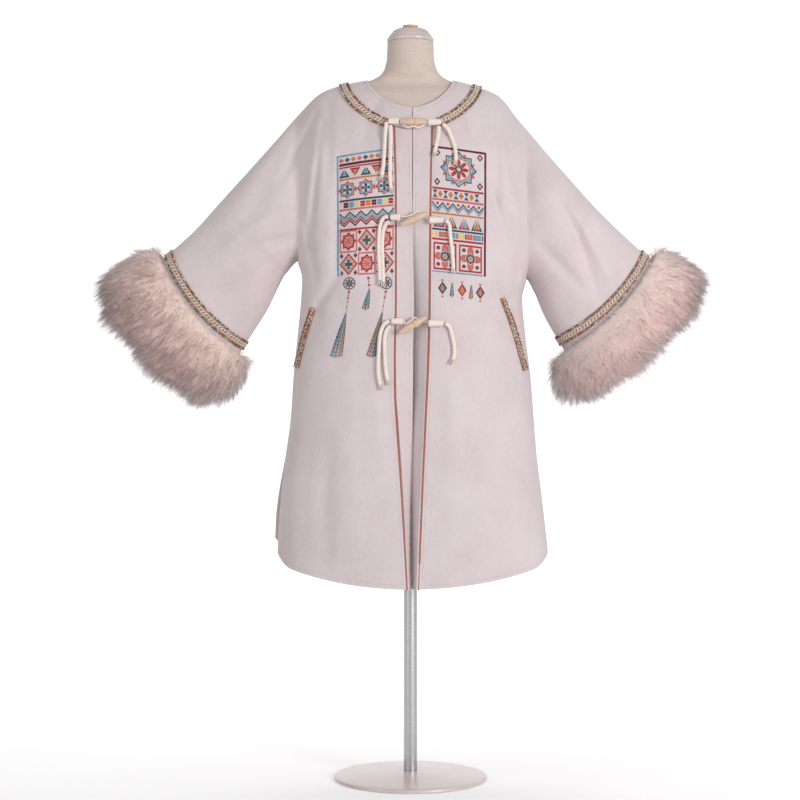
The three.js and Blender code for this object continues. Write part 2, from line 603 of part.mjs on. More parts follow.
// One half of a face, from its inner edge over the upper sleeve to the sleeve's seam.
function halfFace(side, face) {
  const sign = SIDES[side];
  const { armhole, pit, seam } = SLEEVE[side];
  const pitZ = ARMPIT_Z[side];
  const inner = reachAt(BORDER.side + HIDDEN_GAP);
  const bend = 0.5; // share of the chest's rows along the neck border
  const edgeX = (z) => (face === "front" ? pipingX[side](z) + PIPING.room : 0);
  const lowest = neckRing(inner, face === "front" ? 0 : Math.PI, side).z - GAP;
  const first = (v) => {
    if (v >= bend) {
      const z = mix(lowestEdge(), ARMPIT_Z.middle, (v - bend) / (1 - bend));
      return [edgeX(z), z];
    }
    const start = startTurn();
    const turn = mix(Math.PI / 2, start, (v / bend) ** 1.4);
    const at = neckRing(inner, face === "front" ? turn : Math.PI - turn, side);
    return [Math.abs(at.x), at.z];
  };
  const startTurn = () => Math.asin((edgeX(lowest) / inner.side) ** (BORDER.power / 2));
  const lowestEdge = () => neckRing(inner, face === "front" ? startTurn() : Math.PI - startTurn(), side).z;
  const arm = (w, q) => {
    const topX = mix(armhole, seam[0], w);
    const lowX = mix(pit, seam[1], w);
    const bow = BOW.seam * w * 4 * q * (1 - q);
    const x = mix(topX, lowX, q) + bow * frames[side].along[0];
    const z = mix(ridge[side](topX), w ? underarm[side](lowX) : pitZ, q) + bow * frames[side].along[1];
    return [x, z];
  };
  const chest = (u, v) => {
    const q = (1 - Math.cos(Math.PI * v)) / 2;
    const topX = mix(inner.side, armhole, u);
    const top = [topX, ridge[side](topX)];
    const low = [across(edgeX(ARMPIT_Z.middle), pit, u), mix(ARMPIT_Z.middle, pitZ, u)];
    const left = first(v);
    const right = arm(0, q);
    const corners = [first(0), arm(0, 0), first(1), arm(0, 1)];
    return [0, 1].map(
      (k) =>
        mix(left[k], right[k], u) +
        mix(top[k], low[k], v) -
        mix(mix(corners[0][k], corners[1][k], u), mix(corners[2][k], corners[3][k], u), v),
    );
  };
  const skirt = (u, v) => {
    const share = across(edgeX(ARMPIT_Z.middle), pit, u) / pit;
    const z = mix(mix(ARMPIT_Z.middle, pitZ, u), hem(share, face), v);
    const flare = face === "back" && side === "right" ? SLIT.flare * smooth((SLIT.top - z) / 160) : 0;
    return [across(edgeX(z), halfWidth[side](z), u) + flare * share ** 8, z];
  };
  const columns = STEPS.body + STEPS.sleeve;
  const rows = STEPS.chest + STEPS.skirt;
  const flip = (side === "right") !== (face === "back");
  return patch(
    rows,
    columns,
    (r, c) => {
      const u = Math.min(1, c / STEPS.body);
      const v = Math.min(1, r / STEPS.chest);
      const w = Math.max(0, c / STEPS.sleeve - STEPS.body / STEPS.sleeve);
      let at;
      if (r > STEPS.chest) at = skirt(u, (r - STEPS.chest) / STEPS.skirt);
      else if (w > 0) at = arm(w, (1 - Math.cos(Math.PI * v)) / 2);
      else at = chest(u, v);
      const edge = r === 0 || (w > 0 && r === STEPS.chest);
      const point = skin(sign * at[0], at[1], face);
      if (edge) point.y = FACE[face] * SEAM;
      return point;
    },
    { flip, keep: (r, c) => c < STEPS.body || r < STEPS.chest },
  );
}

function fronts() {
  for (const side of ["right", "left"]) add(jacket, `front_${side}`, walled(halfFace(side, "front")), "wool");
}

function back() {
  add(jacket, "back", walled(weld(halfFace("right", "back"), halfFace("left", "back"))), "wool");
}

// ---------------------------------------------------------------- lower sleeves
// A point round the sleeve: place w along it (0 seam, 1 end), turn from the ridge over the front.
function sleevePoint(side, topX, lowX, bow, turn, lift = 0) {
  const q = (1 - Math.cos(turn)) / 2;
  const out = bow * 4 * q * (1 - q);
  const [alongX, alongZ] = frames[side].along;
  const x = mix(topX, lowX, q) + out * alongX;
  const z = mix(ridge[side](topX), underarm[side](lowX), q) + out * alongZ;
  const edge = Math.abs(Math.sin(turn)) < 1e-6;
  return skin(SIDES[side] * x, z, Math.sin(turn) >= -1e-6 ? "front" : "back", lift, edge);
}

function sleeveRing(side, w, lift = 0) {
  const { seam, end } = SLEEVE[side];
  const start = GAP / Math.cos(radians(SLEEVE[side].fall));
  return (turn) =>
    sleevePoint(
      side,
      mix(seam[0] + start, end[0], w),
      mix(seam[1] + start, end[1], w),
      mix(BOW.seam, BOW.end, w),
      turn,
      lift,
    );
}

function sleeves() {
  for (const side of ["right", "left"]) {
    const turnAt = (c) => (2 * Math.PI * c) / RING_STEPS;
    const tube = patch(STEPS.lower, RING_STEPS, (r, c) => sleeveRing(side, r / STEPS.lower)(turnAt(c)), {
      flip: side === "left",
      closed: true,
    });
    add(jacket, `sleeve_${side}`, walled(tube), "wool");
    const { trim } = SLEEVE[side];
    const half = TRIM.width / 2;
    const band = patch(
      2,
      RING_STEPS,
      (r, c) => {
        const move = mix(-half, half, r / 2);
        const topX = trim[0] + move * TRIM_MOVE.ridge;
        const lowX = trim[1] + move * TRIM_MOVE.underarm;
        return sleevePoint(side, topX, lowX, BOW.end, turnAt(c), TRIM.lift + TRIM.thick);
      },
      { flip: side === "left", closed: true },
    );
    add(jacket, `sleeve_trim_${side}`, walled(band, TRIM.thick), "braid");
  }
}

// ---------------------------------------------------------------- fur cuffs
function furCuffs() {
  for (const side of ["right", "left"]) {
    const ring = sleeveRing(side, 1);
    const around = RING_STEPS;
    const turns = Array.from({ length: around }, (_, c) => (2 * Math.PI * c) / around);
    const edge = turns.map(ring);
    const middle = edge.reduce((sum, p) => sum.add(p), new THREE.Vector3()).divideScalar(around);
    const [alongX, alongZ] = frames[side].along;
    const along = new THREE.Vector3(SIDES[side] * alongX, 0, alongZ);
    const rings = turns.map((turn, c) => {
      const tangent = edge[(c + 1) % around].clone().sub(edge[(c + around - 1) % around]);
      const out = tangent.cross(along).normalize();
      const inward = middle.clone().sub(edge[c]);
      inward.addScaledVector(along, -inward.dot(along));
      if (out.dot(inward) > 0) out.negate();
      return FUR.map(({ past, out: far }, i) => {
        const lump = 1 + FUR_LUMPS.height * Math.sin(FUR_LUMPS.count * turn + 1.9 * i) * smooth(past / 60);
        const under = (1 - Math.cos(turn)) / 2;
        const long = past > 10 ? mix(...FUR_SHARE[side].past, under) : 1;
        const wide = far > 10 ? mix(...FUR_SHARE[side].out, under) : 1;
        const point = edge[c].clone().addScaledVector(along, past * long * (past > 100 ? lump : 1));
        if (far > 0) return point.addScaledVector(out, far * wide * lump);
        return point.addScaledVector(inward, -far / FUR_HOLLOW);
      });
    });
    add(jacket, `fur_cuff_${side}`, loft(rings, { round: true }), "fur");
  }
}

// ---------------------------------------------------------------- front edges
function frontEdges() {
  for (const side of ["right", "left"]) {
    const sign = SIDES[side];
    const wideAt = curve(PLACKET, "z", `${side}Wide`);
    const turnAt = curve(PLACKET, "z", `${side}Turn`);
    const border = reachAt(BORDER.side + HIDDEN_GAP);
    const topAt = (x) => {
      const turn = Math.asin((Math.abs(x) / border.side) ** (BORDER.power / 2));
      return neckRing(border, turn, side).z - GAP;
    };
    const rows = STEPS.placket;
    const band = patch(
      rows,
      3,
      (r, c) => {
        const share = c / 3;
        const rootX = sign * (pipingX[side](1350) - PIPING.room - share * wideAt(1350));
        const z = mix(topAt(rootX), HEM.middle, r / rows);
        const turn = radians(turnAt(z));
        const root = skin(sign * (pipingX[side](z) - PIPING.room), z, "front");
        const far = share * wideAt(z);
        const inwards = far * Math.cos(turn) + WALL * Math.sin(turn);
        return root.add(new THREE.Vector3(-sign * inwards, far * Math.sin(turn), 0));
      },
      { flip: side === "left" },
    );
    add(jacket, `placket_${side}`, walled(band), "wool");

    const top = topAt(sign * pipingX[side](1350)) - 1;
    const route = Array.from({ length: rows }, (_, i) => {
      const z = mix(top, HEM.middle, i / (rows - 1));
      const point = skin(sign * pipingX[side](z), z, "front");
      return point.add(new THREE.Vector3(0, PIPING.sink, 0));
    });
    add(jacket, `piping_${side}`, rope(route, PIPING.radius, 6, 1), "piping");
  }
}

function pocketTrims() {
  for (const { name, x, z } of POCKETS) {
    const middle = new THREE.CatmullRomCurve3(x.map((v, i) => new THREE.Vector3(v, 0, z[i])));
    const half = POCKET_TRIM.width / 2;
    const strip = patch(
      8,
      2,
      (r, c) => {
        const at = middle.getPoint(r / 8);
        const go = middle.getTangent(r / 8);
        const aside = mix(-half, half, c / 2);
        return skin(at.x - aside * go.z, at.z + aside * go.x, "front", POCKET_TRIM.lift + POCKET_TRIM.thick);
      },
      { flip: false },
    );
    add(jacket, `pocket_trim_${name}`, walled(strip, POCKET_TRIM.thick), "braid");
  }
}

// ---------------------------------------------------------------- toggles and ropes
function toggleProfile(long) {
  const half = long / 2;
  const rows = [
    [0, -half],
    [TOGGLE.tip - 1.2, -half],
    [TOGGLE.tip, -half + 2],
    [TOGGLE.thick, -half * 0.3],
    [TOGGLE.thick, -3],
    [TOGGLE.groove, -1.2],
    [TOGGLE.groove, 1.2],
    [TOGGLE.thick, 3],
    [TOGGLE.thick, half * 0.3],
    [TOGGLE.tip, half - 2],
    [TOGGLE.tip - 1.2, half],
    [0, half],
  ];
  return rows.map(([radius, at]) => new THREE.Vector2(radius, at));
}

// The whipping round a rope end: a short barrel from near to far.
function whipping(name, near, far, y, z) {
  const wide = Math.abs(far - near);
  const rows = [
    [0, 0],
    [KNOT.radius - 1.2, 0],
    [KNOT.radius, 1.6],
    [KNOT.radius, wide - 1.6],
    [KNOT.radius - 1.2, wide],
    [0, wide],
  ];
  const profile = rows.map(([radius, at]) => new THREE.Vector2(radius, at));
  const knot = add(jacket, name, new THREE.LatheGeometry(profile, 12), "rope");
  knot.position.set(near, y, z);
  knot.rotation.z = far > near ? -Math.PI / 2 : Math.PI / 2;
  return knot.position;
}

function toggles() {
  for (const { name, x, z, long, tilt, loop, ...ropeEnds } of TOGGLES) {
    const over = name === "top" ? OVER_TRIM : 0;
    const middle = new THREE.Vector3(x, skin(x, z, "front").y - TOGGLE.off - over, z);
    const lean = radians(tilt);
    const turned = new THREE.Group();
    turned.rotation.y = -lean;
    turned.position.copy(middle);
    jacket.add(turned);
    const profile = new THREE.LatheGeometry(toggleProfile(long), 12);
    add(turned, `toggle_${name}`, profile, "wood").rotation.z = -Math.PI / 2;

    const [right, left] = ["right", "left"].map((side) => {
      const { near, far, z: height } = ropeEnds[side];
      const face = Math.min(skin(near, height, "front").y, skin(far, height, "front").y);
      return whipping(`knot_${name}_${side}`, near, far, face - KNOT.off - over, height);
    });

    // The loop runs from one whipping to the other, past the toggle's groove.
    const local = (along, up, behind) =>
      new THREE.Vector3(
        x + along * Math.cos(lean) - up * Math.sin(lean),
        middle.y + behind,
        z + along * Math.sin(lean) + up * Math.cos(lean),
      );
    const beside = TOGGLE.groove + LOOP_RADIUS + 1.5;
    const past = TOGGLE.thick + LOOP_RADIUS + 1.6;
    const under = tilt ? [local(18, 3, 11)] : [];
    const route = [
      right.clone().add(new THREE.Vector3(LOOP_START, 0, loop * 1.5)),
      local(-12, loop * past, 2.5),
      local(0, loop * beside, 0),
      local(11, loop * past, 3),
      ...under,
      left.clone().add(new THREE.Vector3(-LOOP_START, 0, loop * 1.5)),
    ];
    add(jacket, `loop_${name}`, rope(route, LOOP_RADIUS, 6, 4), "rope");
  }
  for (const { name, x, z } of TAILS) {
    const over = name.startsWith("top") ? OVER_TRIM : 0;
    const rise = [KNOT.off - ROPE.radius - TAIL_LIFT + over, 1.5 + over];
    const route = x.map((v, i) => {
      const out = ROPE.radius + TAIL_LIFT + (rise[i] ?? 0);
      return skin(v, z[i], "front").add(new THREE.Vector3(0, -out, 0));
    });
    add(jacket, `tail_${name}`, rope(route, ROPE.radius, ROPE.sides, 2), "rope");
  }
}

// ---------------------------------------------------------------- the form and its stand
function dressForm() {
  const around = 24;
  const rings = TORSO.map(({ z, right, left, front, back: behind }) =>
    Array.from({ length: around }, (_, i) => {
      const turn = (2 * Math.PI * i) / around;
      const wide = Math.sin(turn) > 0 ? left : right;
      const deep = Math.cos(turn) > 0 ? front : behind;
      return new THREE.Vector3(wide * Math.sin(turn), -deep * Math.cos(turn), z);
    }),
  );
  add(form, "form_body", loft(rings), "linen");

  const turned = (rows, bottom, top) => [
    new THREE.Vector2(0, bottom),
    ...rows.map(({ r, z }) => new THREE.Vector2(r, z)),
    new THREE.Vector2(0, top),
  ];
  const upright = (name, profile, material) => {
    const mesh = add(form, name, new THREE.LatheGeometry(profile, 28), material);
    mesh.rotation.x = Math.PI / 2;
  };
  upright("neck_cap", turned(CAP, CAP[0].z, CAP.at(-1).z), "lacquer");
  const peg = [
    { r: CAP_PEG.radius, z: CAP_PEG.bottom },
    { r: CAP_PEG.radius - 1, z: CAP_PEG.top },
  ];
  upright("cap_peg", turned(peg, CAP_PEG.bottom, CAP_PEG.top), "wood");
  const pole = [
    { r: POLE.radius, z: POLE.bottom },
    { r: POLE.radius, z: FORM_BOTTOM - GAP },
  ];
  upright("pole", turned(pole, POLE.bottom, FORM_BOTTOM - GAP), "steel");
  const foot = [
    { r: FOOT.radius, z: 0 },
    { r: FOOT.radius, z: FOOT.edge - 2 },
    { r: FOOT.radius - 3, z: FOOT.edge },
    { r: FOOT.radius * 0.3, z: FOOT.height },
  ];
  upright("foot", turned(foot, 0, FOOT.height), "lacquer");
}

neckBorder();
fronts();
back();
sleeves();
furCuffs();
frontEdges();
pocketTrims();
toggles();
dressForm();

export default part;
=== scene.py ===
"""A long wool jacket on a limbless dress form: its cloth, trims, fur, ropes and stand.

Tables and formulas are in millimetres and repeat the part's own; meshes, and the camera, lamps
and floor, are in metres. "Right" and "left" are the wearer's, so the right side is at -X. The
garment faces -Y.
"""

import bpy
import numpy as np
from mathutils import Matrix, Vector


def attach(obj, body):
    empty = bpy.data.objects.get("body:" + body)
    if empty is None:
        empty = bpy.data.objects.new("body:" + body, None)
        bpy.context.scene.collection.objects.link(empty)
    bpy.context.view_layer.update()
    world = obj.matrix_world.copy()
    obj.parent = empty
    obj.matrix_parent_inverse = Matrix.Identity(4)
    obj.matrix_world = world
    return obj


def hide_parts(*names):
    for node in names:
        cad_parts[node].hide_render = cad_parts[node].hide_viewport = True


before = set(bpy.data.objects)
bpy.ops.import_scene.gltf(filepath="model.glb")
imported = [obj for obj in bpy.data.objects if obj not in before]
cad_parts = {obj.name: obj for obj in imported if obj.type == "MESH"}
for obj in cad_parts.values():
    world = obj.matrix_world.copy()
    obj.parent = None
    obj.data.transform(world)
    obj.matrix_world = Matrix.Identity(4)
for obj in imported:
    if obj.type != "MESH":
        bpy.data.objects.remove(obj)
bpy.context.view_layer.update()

MM = 0.001
SIDES = {"right": -1, "left": 1}

# ---------------------------------------------------------------- driving sizes
WALL = 2.5
SEAM = 0.15  # half the gap between the front and the back
GAP = 0.3
HIDDEN_GAP = 0.9
SEAM_SHOWN = 0.35  # share of the gap left open where the lower sleeve is sewn on
CLOSE_X = 3.4  # where the two fronts meet
TRIM = {"lift": 0.9, "thick": 2.2, "width": 20}
POCKET_TRIM = {"lift": 1.2, "thick": 2, "width": 12}
PIPING = {"radius": 1.5, "room": 1.95, "sink": 0.6, "lay": 9}
ROPE_RADIUS = 4.2  # the laid rope; the part's plain tubes are 3
ROPE_LAY = 11  # a strand goes once round in this length
ROPE_END = {"fray": 10, "yarns": 22, "full": 12, "thick": 0.95}
LOOP_RADIUS = 1.6
LOOP_LAY = 7
LOOP_START = 1.55
TAIL_LIFT = 0.6
OVER_TRIM = 4.2  # what lies over the neck trim is this much further out
ROUND = {"front": 230, "back": 200, "body": 2.6, "sleeve": 2.2, "blend": 4}
BOW = {"seam": 14, "end": 20}
ARMPIT_Z = {"right": 1087, "left": 1050, "middle": 1068}
NECK = {"side": 88, "front": 71, "back": 20}
BORDER = {"side": 139, "front": 106, "back": 46, "power": 1.7}
HEM = {"middle": 412, "rise": 48, "power": 2.2, "corner": 0.88, "corner_rise": 20, "back_rise": 26}
SLIT = {"top": 707, "open": 13, "flare": 8, "fade": 160}
TOGGLE = {"thick": 8, "tip": 4, "groove": 6.4, "off": 13.4, "edge": 2.2}
KNOT = {"radius": 7.2, "off": 8}  # the wound yarn; the part's plain barrels are 5.4 and 6.6 off

# A face's grid: columns on the body and the sleeve, rows on the chest and the skirt.
FRONT_STEPS = (60, 24, 56, 76)
BACK_STEPS = (44, 18, 42, 56)

# Shoulder and overarm ridge: distance from the middle, height on the right and on the left.
RIDGE = np.array([
    (0, 1478, 1478), (88, 1466, 1466), (140, 1456, 1452), (180, 1443, 1436), (200, 1430, 1418),
    (220, 1410, 1391), (250, 1377, 1356), (280, 1342, 1320), (340, 1274, 1251), (400, 1208, 1185),
    (460, 1143, 1128), (510, 1099, 1086), (560, 1059, 1048),
])
# The underarm line: distance from the middle, height.
UNDERARM = {
    "right": np.array([(90, 1000), (236, 1087), (261, 1062), (301, 984), (348, 910), (400, 828)]),
    "left": np.array([(90, 970), (243, 1050), (261, 1020), (280, 974), (310, 921), (380, 808)]),
}
# Half width of the body: height, right, left.
SIDE = np.array([
    (1480, 236, 236), (1300, 240, 242), (1087, 236, 244), (1050, 227, 243), (1009, 229, 234),
    (934, 236, 240), (845, 245, 251), (757, 251, 258), (682, 261, 264), (606, 270, 273),
    (543, 275, 280), (470, 278, 287), (400, 280, 289),
])
# Depth of the body: height, in front of the seams, behind them.
DEPTH = np.array([
    (1480, 124, 146), (1350, 130, 150), (1200, 148, 152), (1050, 145, 144), (900, 144, 142),
    (750, 149, 146), (550, 160, 152), (400, 166, 156),
])
# Half depth of the sleeve: distance along it from the armpit, depth.
SLEEVE_DEPTH = np.array([(-250, 0), (-150, 52), (-50, 88), (0, 90), (60, 84), (200, 68), (260, 66)])
# Sleeves: fall in degrees, the armhole on the ridge and at the armpit, and where the seam, the
# braid and the end cross the ridge and the underarm.
SLEEVE = {
    "right": {
        "fall": 39.5, "armhole": 226, "pit": 236,
        "seam": (387, 261), "trim": (506, 348), "end": (526, 364),
    },
    "left": {
        "fall": 42.5, "armhole": 214, "pit": 243,
        "seam": (381, 263), "trim": (491, 311), "end": (512, 328),
    },
}
# Front edges: height, line of the piping, width of the band and its turn inwards in degrees.
PLACKET = {
    "right": np.array([
        (1360, 34, 35, 0), (1215, 30.5, 31.3, 0), (1100, 30.4, 32.6, 1), (1000, 30.4, 34.5, 3),
        (875, 32.8, 35, 7), (800, 32, 35, 19), (760, 29.5, 35, 32), (600, 18.4, 35, 63),
        (500, 12.5, 35, 76), (405, 7.2, 35, 86),
    ]),
    "left": np.array([
        (1360, 43.7, 37.6, 0), (1215, 40, 34.1, 0), (1100, 39.2, 34.5, 16), (1000, 38.5, 35, 30),
        (875, 35.6, 35, 38), (800, 32.2, 35, 45), (760, 30.3, 35, 49), (600, 22.8, 35, 62),
        (500, 18.7, 35, 69), (405, 15, 35, 73),
    ]),
}
# Folds: line down the face (x, z), width, height (a trough is negative).
FOLDS = [
    ([(-190, 1365), (-222, 1280), (-236, 1140)], 20, -9),
    ([(-176, 1375), (-200, 1280), (-212, 1180)], 18, 7),
    ([(-134, 1300), (-142, 1160), (-150, 1000)], 22, -8),
    ([(-150, 1060), (-190, 1000), (-203, 930)], 20, -7),
    ([(-255, 1330), (-300, 1240), (-350, 1120)], 24, -7),
    ([(196, 1370), (222, 1270), (252, 1150)], 20, -9),
    ([(182, 1370), (204, 1280), (228, 1180)], 18, 7),
    ([(162, 1280), (178, 1200), (204, 1140)], 18, -7),
    ([(316, 1220), (360, 1130), (400, 1020)], 24, -8),
    ([(172, 1040), (196, 1000), (214, 900)], 20, -6),
    ([(-110, 860), (-122, 680), (-118, 440)], 42, 5),
    ([(-200, 820), (-214, 640), (-218, 470)], 34, -5),
    ([(120, 860), (134, 680), (140, 440)], 44, 5),
    ([(196, 800), (216, 640), (224, 470)], 36, -5),
]
BACK_FOLDS = [
    ([(-190, 1360), (-205, 1260), (-226, 1120)], 22, -9),
    ([(188, 1360), (204, 1260), (230, 1110)], 22, -9),
    ([(-60, 1300), (-66, 900), (-58, 460)], 46, 6),
    ([(72, 1250), (80, 850), (90, 460)], 50, 6),
    ([(0, 1200), (8, 850), (4, 450)], 36, -7),
    ([(-300, 1260), (-360, 1150), (-400, 1060)], 24, -7),
    ([(300, 1240), (350, 1130), (390, 1030)], 24, -7),
]
# Creases too fine for the part's solids.
CREASES = [
    ([(-196, 1386), (-236, 1310), (-268, 1246)], 9, -3.4),
    ([(-182, 1368), (-196, 1238), (-208, 1112)], 8, -3),
    ([(-146, 1296), (-150, 1180), (-154, 1060)], 7, -2.4),
    ([(-147, 1051), (-188, 990), (-196, 966)], 8, -2.8),
    ([(-214, 1160), (-206, 1100), (-196, 1040)], 9, -2.6),
    ([(-240, 1130), (-290, 1120), (-356, 1082)], 12, -3.4),
    ([(-262, 1180), (-330, 1150), (-400, 1090)], 14, 2.8),
    ([(-300, 1080), (-350, 1040), (-420, 1010)], 12, -2.6),
    ([(192, 1360), (214, 1250), (240, 1140)], 8, -3.2),
    ([(304, 1204), (344, 1136), (386, 1012)], 9, -3.6),
    ([(330, 1200), (372, 1120), (408, 1040)], 10, 2.6),
    ([(156, 1260), (172, 1200), (196, 1126)], 8, -2.6),
    ([(168, 1034), (190, 998), (198, 970)], 8, -2.6),
    ([(232, 1130), (222, 1080), (214, 1010)], 9, -2.6),
    ([(262, 1120), (300, 1080), (360, 1020)], 12, -2.8),
    ([(-62, 1000), (-70, 820), (-64, 640)], 20, 1.6),
    ([(74, 940), (84, 760), (80, 520)], 22, 1.6),
    ([(-166, 700), (-174, 600), (-172, 450)], 18, -1.8),
    ([(176, 720), (184, 600), (186, 460)], 18, -1.8),
    ([(-60, 1420), (-84, 1380), (-96, 1320)], 12, -1.8),
    ([(-170, 1420), (-172, 1330), (-162, 1210)], 13, -2.2),
    ([(168, 1400), (176, 1310), (172, 1190)], 13, -2.4),
    ([(150, 1330), (148, 1200), (160, 1080)], 11, 1.8),
    ([(84, 1420), (104, 1370), (110, 1320)], 12, -1.8),
]
BACK_CREASES = [
    ([(-150, 1360), (-168, 1220), (-190, 1090)], 11, -3),
    ([(150, 1360), (170, 1220), (192, 1080)], 11, -3),
    ([(-240, 1150), (-300, 1120), (-370, 1070)], 12, -3),
    ([(240, 1130), (300, 1090), (360, 1040)], 12, -3),
    ([(-120, 1150), (-130, 900), (-140, 620)], 16, -2.4),
    ([(130, 1120), (140, 880), (150, 600)], 16, -2.4),
    ([(-24, 1360), (-30, 1200), (-26, 1040)], 14, 2),
    ([(34, 1340), (42, 1180), (38, 1000)], 14, 2),
    ([(-190, 900), (-200, 760), (-205, 640)], 14, -2),
    ([(196, 900), (206, 760), (212, 640)], 14, -2),
]
CREASE_DEPTH = 2.6  # times the heights listed
RELIEF = {"from": 8, "over": 40}  # folds come up where the cloth stands this far from the seams
POCKETS = {
    "right": [(-200, 984), (-219, 925), (-236, 862)],
    "left": [(188, 1004), (212, 940), (236, 856)],
}
# Profile of the fur round the sleeve's end: past the end, and out from the cloth.
FUR = np.array([
    (1.6, -10), (0.8, 2.4), (-8, 6), (-12, 20), (6, 42), (40, 56), (84, 60), (124, 52),
    (152, 30), (162, 6), (150, -16), (110, -26), (60, -26), (20, -20),
])
# Share of that profile at the ridge and at the underarm, past the end and out from the cloth.
FUR_SHARE = {
    "right": {"past": (0.98, 0.84), "out": (1, 1)},
    "left": {"past": (0.8, 0.7), "out": (1, 1.38)},
}
FUR_LUMPS = {"count": 5, "height": 0.09}
FUR_HOLLOW = 78  # a row this far inside the cloth would be on the sleeve's middle line
FUR_LENGTH = 150  # this far past the sleeve's end the colours are those of the rim
FUR_DARK = {"right": 0.8, "left": 0.5}  # share of the outermost plumes with dark tips
FUR_TINT = {"right": (1, 0.985, 1), "left": (0.92, 0.93, 0.97)}
PLUMES = {"count": 5200, "barbs": 7}
# The down's hairs, those of them near the sleeve, in the profile's first rows, and how far those
# lean back.
DOWN = {"count": 22000, "edge": 6000, "edge_k": 3.4, "lean": 27}
HAIR_DROOP = 4
# Toggles: middle (x, z), tilt in degrees, each whipping's near and far x and its height, and
# whether the loop passes above the toggle (1) or below it (-1).
TOGGLES = {
    "top": {
        "at": (5.5, 1361), "long": 56, "tilt": 0, "loop": -1,
        "right": (-24, -46, 1363), "left": (35, 62, 1361),
    },
    "middle": {
        "at": (6.5, 1160), "long": 59, "tilt": 24, "loop": 1,
        "right": (-22, -42, 1164), "left": (37, 66, 1158),
    },
    "low": {
        "at": (3.8, 946), "long": 63, "tilt": 31, "loop": 1,
        "right": (-16, -40, 954), "left": (35, 66, 950),
    },
}
# Hanging rope ends: routes (x, z) down the cloth.
TAILS = {
    "top_right_1": [(-49.6, 1360), (-52, 1340), (-53, 1320), (-54.5, 1290), (-57, 1260), (-61, 1239)],
    "top_right_2": [(-42, 1353.3), (-41, 1335), (-41.5, 1300), (-42, 1270), (-42, 1240), (-38.5, 1214)],
    "top_left_1": [(57, 1351.6), (56, 1335), (53, 1320), (50, 1305), (47, 1290)],
    "top_left_2": [(66, 1357), (76, 1345), (84, 1326), (90, 1305), (91, 1285), (90, 1270)],
    "middle_right_1": [(-46, 1165), (-55, 1163), (-62, 1148), (-65, 1114), (-64, 1072), (-62.5, 1027)],
    "middle_right_2": [(-43, 1154.2), (-49, 1152), (-55.5, 1138), (-58, 1110), (-57, 1070), (-55, 1024)],
    "middle_left": [(70, 1158), (77, 1151), (79.5, 1130), (83, 1100), (85.5, 1070), (86, 1051)],
    "low_right_1": [(-44, 955), (-54, 948), (-61, 932), (-65, 894), (-66, 850), (-60.5, 816)],
    "low_right_2": [(-41, 944), (-47, 939), (-52.5, 925), (-53, 892), (-50, 850), (-45, 826)],
    "low_left": [(70, 950), (78, 943), (84, 922), (88, 898), (86, 880), (79, 868)],
}
# The form: height, half width right and left, half depth in front and behind.
TORSO = np.array([
    (1545, 48.5, 48.5, 48.5, 48.5), (1515, 49.5, 49.5, 49.5, 49), (1492, 54, 54, 52, 51),
    (1476, 64, 64, 54, 53), (1462, 92, 88, 46, 50), (1454, 124, 116, 47, 52),
    (1446, 153.5, 139, 53, 55), (1436, 175, 164, 64, 62), (1424, 182, 174, 72, 70),
    (1405, 182, 178, 82, 82), (1360, 174, 172, 96, 98), (1300, 160, 160, 112, 106),
    (1220, 156, 156, 124, 104), (1120, 132, 132, 100, 92), (1040, 122, 122, 92, 86),
    (950, 150, 150, 104, 102), (860, 166, 166, 112, 116), (812, 162, 162, 110, 112),
    (800, 152, 152, 102, 104),
])
# Turned pieces: radius, height.
CAP = np.array([
    (0, 1545.3), (46.6, 1545.3), (48.6, 1546.6), (49.5, 1548.6), (49.5, 1552), (48.6, 1554),
    (46.6, 1555), (45.4, 1556.6), (44.6, 1559.6), (43.4, 1561.6), (41, 1562.8), (39.4, 1564.6),
    (38.4, 1567.6), (36, 1570), (30, 1572.6), (22, 1574.2), (18, 1574.8), (0, 1575),
])
CAP_PEG = np.array([(0, 1575.3), (16.4, 1575.3), (17, 1576), (17, 1579.6), (15.8, 1581), (0, 1581)])
POLE = np.array([(0, 18.3), (14, 18.3), (14, 60), (14, 400), (14, 799.7), (0, 799.7)])
FOOT = np.array([
    (0, 0), (158, 0), (160, 1.6), (160, 5.4), (158.6, 7.4), (150, 9.2), (110, 12.4), (70, 15.4),
    (48, 17.4), (30, 18), (0, 18),
])


# ---------------------------------------------------------------- small mathematics
def mix(a, b, t):
    """a at t = 0 and b at t = 1, straight between."""
    return a + (b - a) * t


def smooth(v):
    """0 below 0 and 1 above 1, with the cubic 3v^2 - 2v^3 between."""
    v = np.clip(v, 0, 1)
    return v * v * (3 - 2 * v)


def bulge(r, power):
    """Share of full depth at the share r of the way out: (1 - |r|^p)^(1/p)."""
    return (1 - np.minimum(1, np.abs(r)) ** power) ** (1 / power)


def unit(v):
    """Each vector over its length."""
    return v / np.maximum(np.linalg.norm(v, axis=-1, keepdims=True), 1e-12)


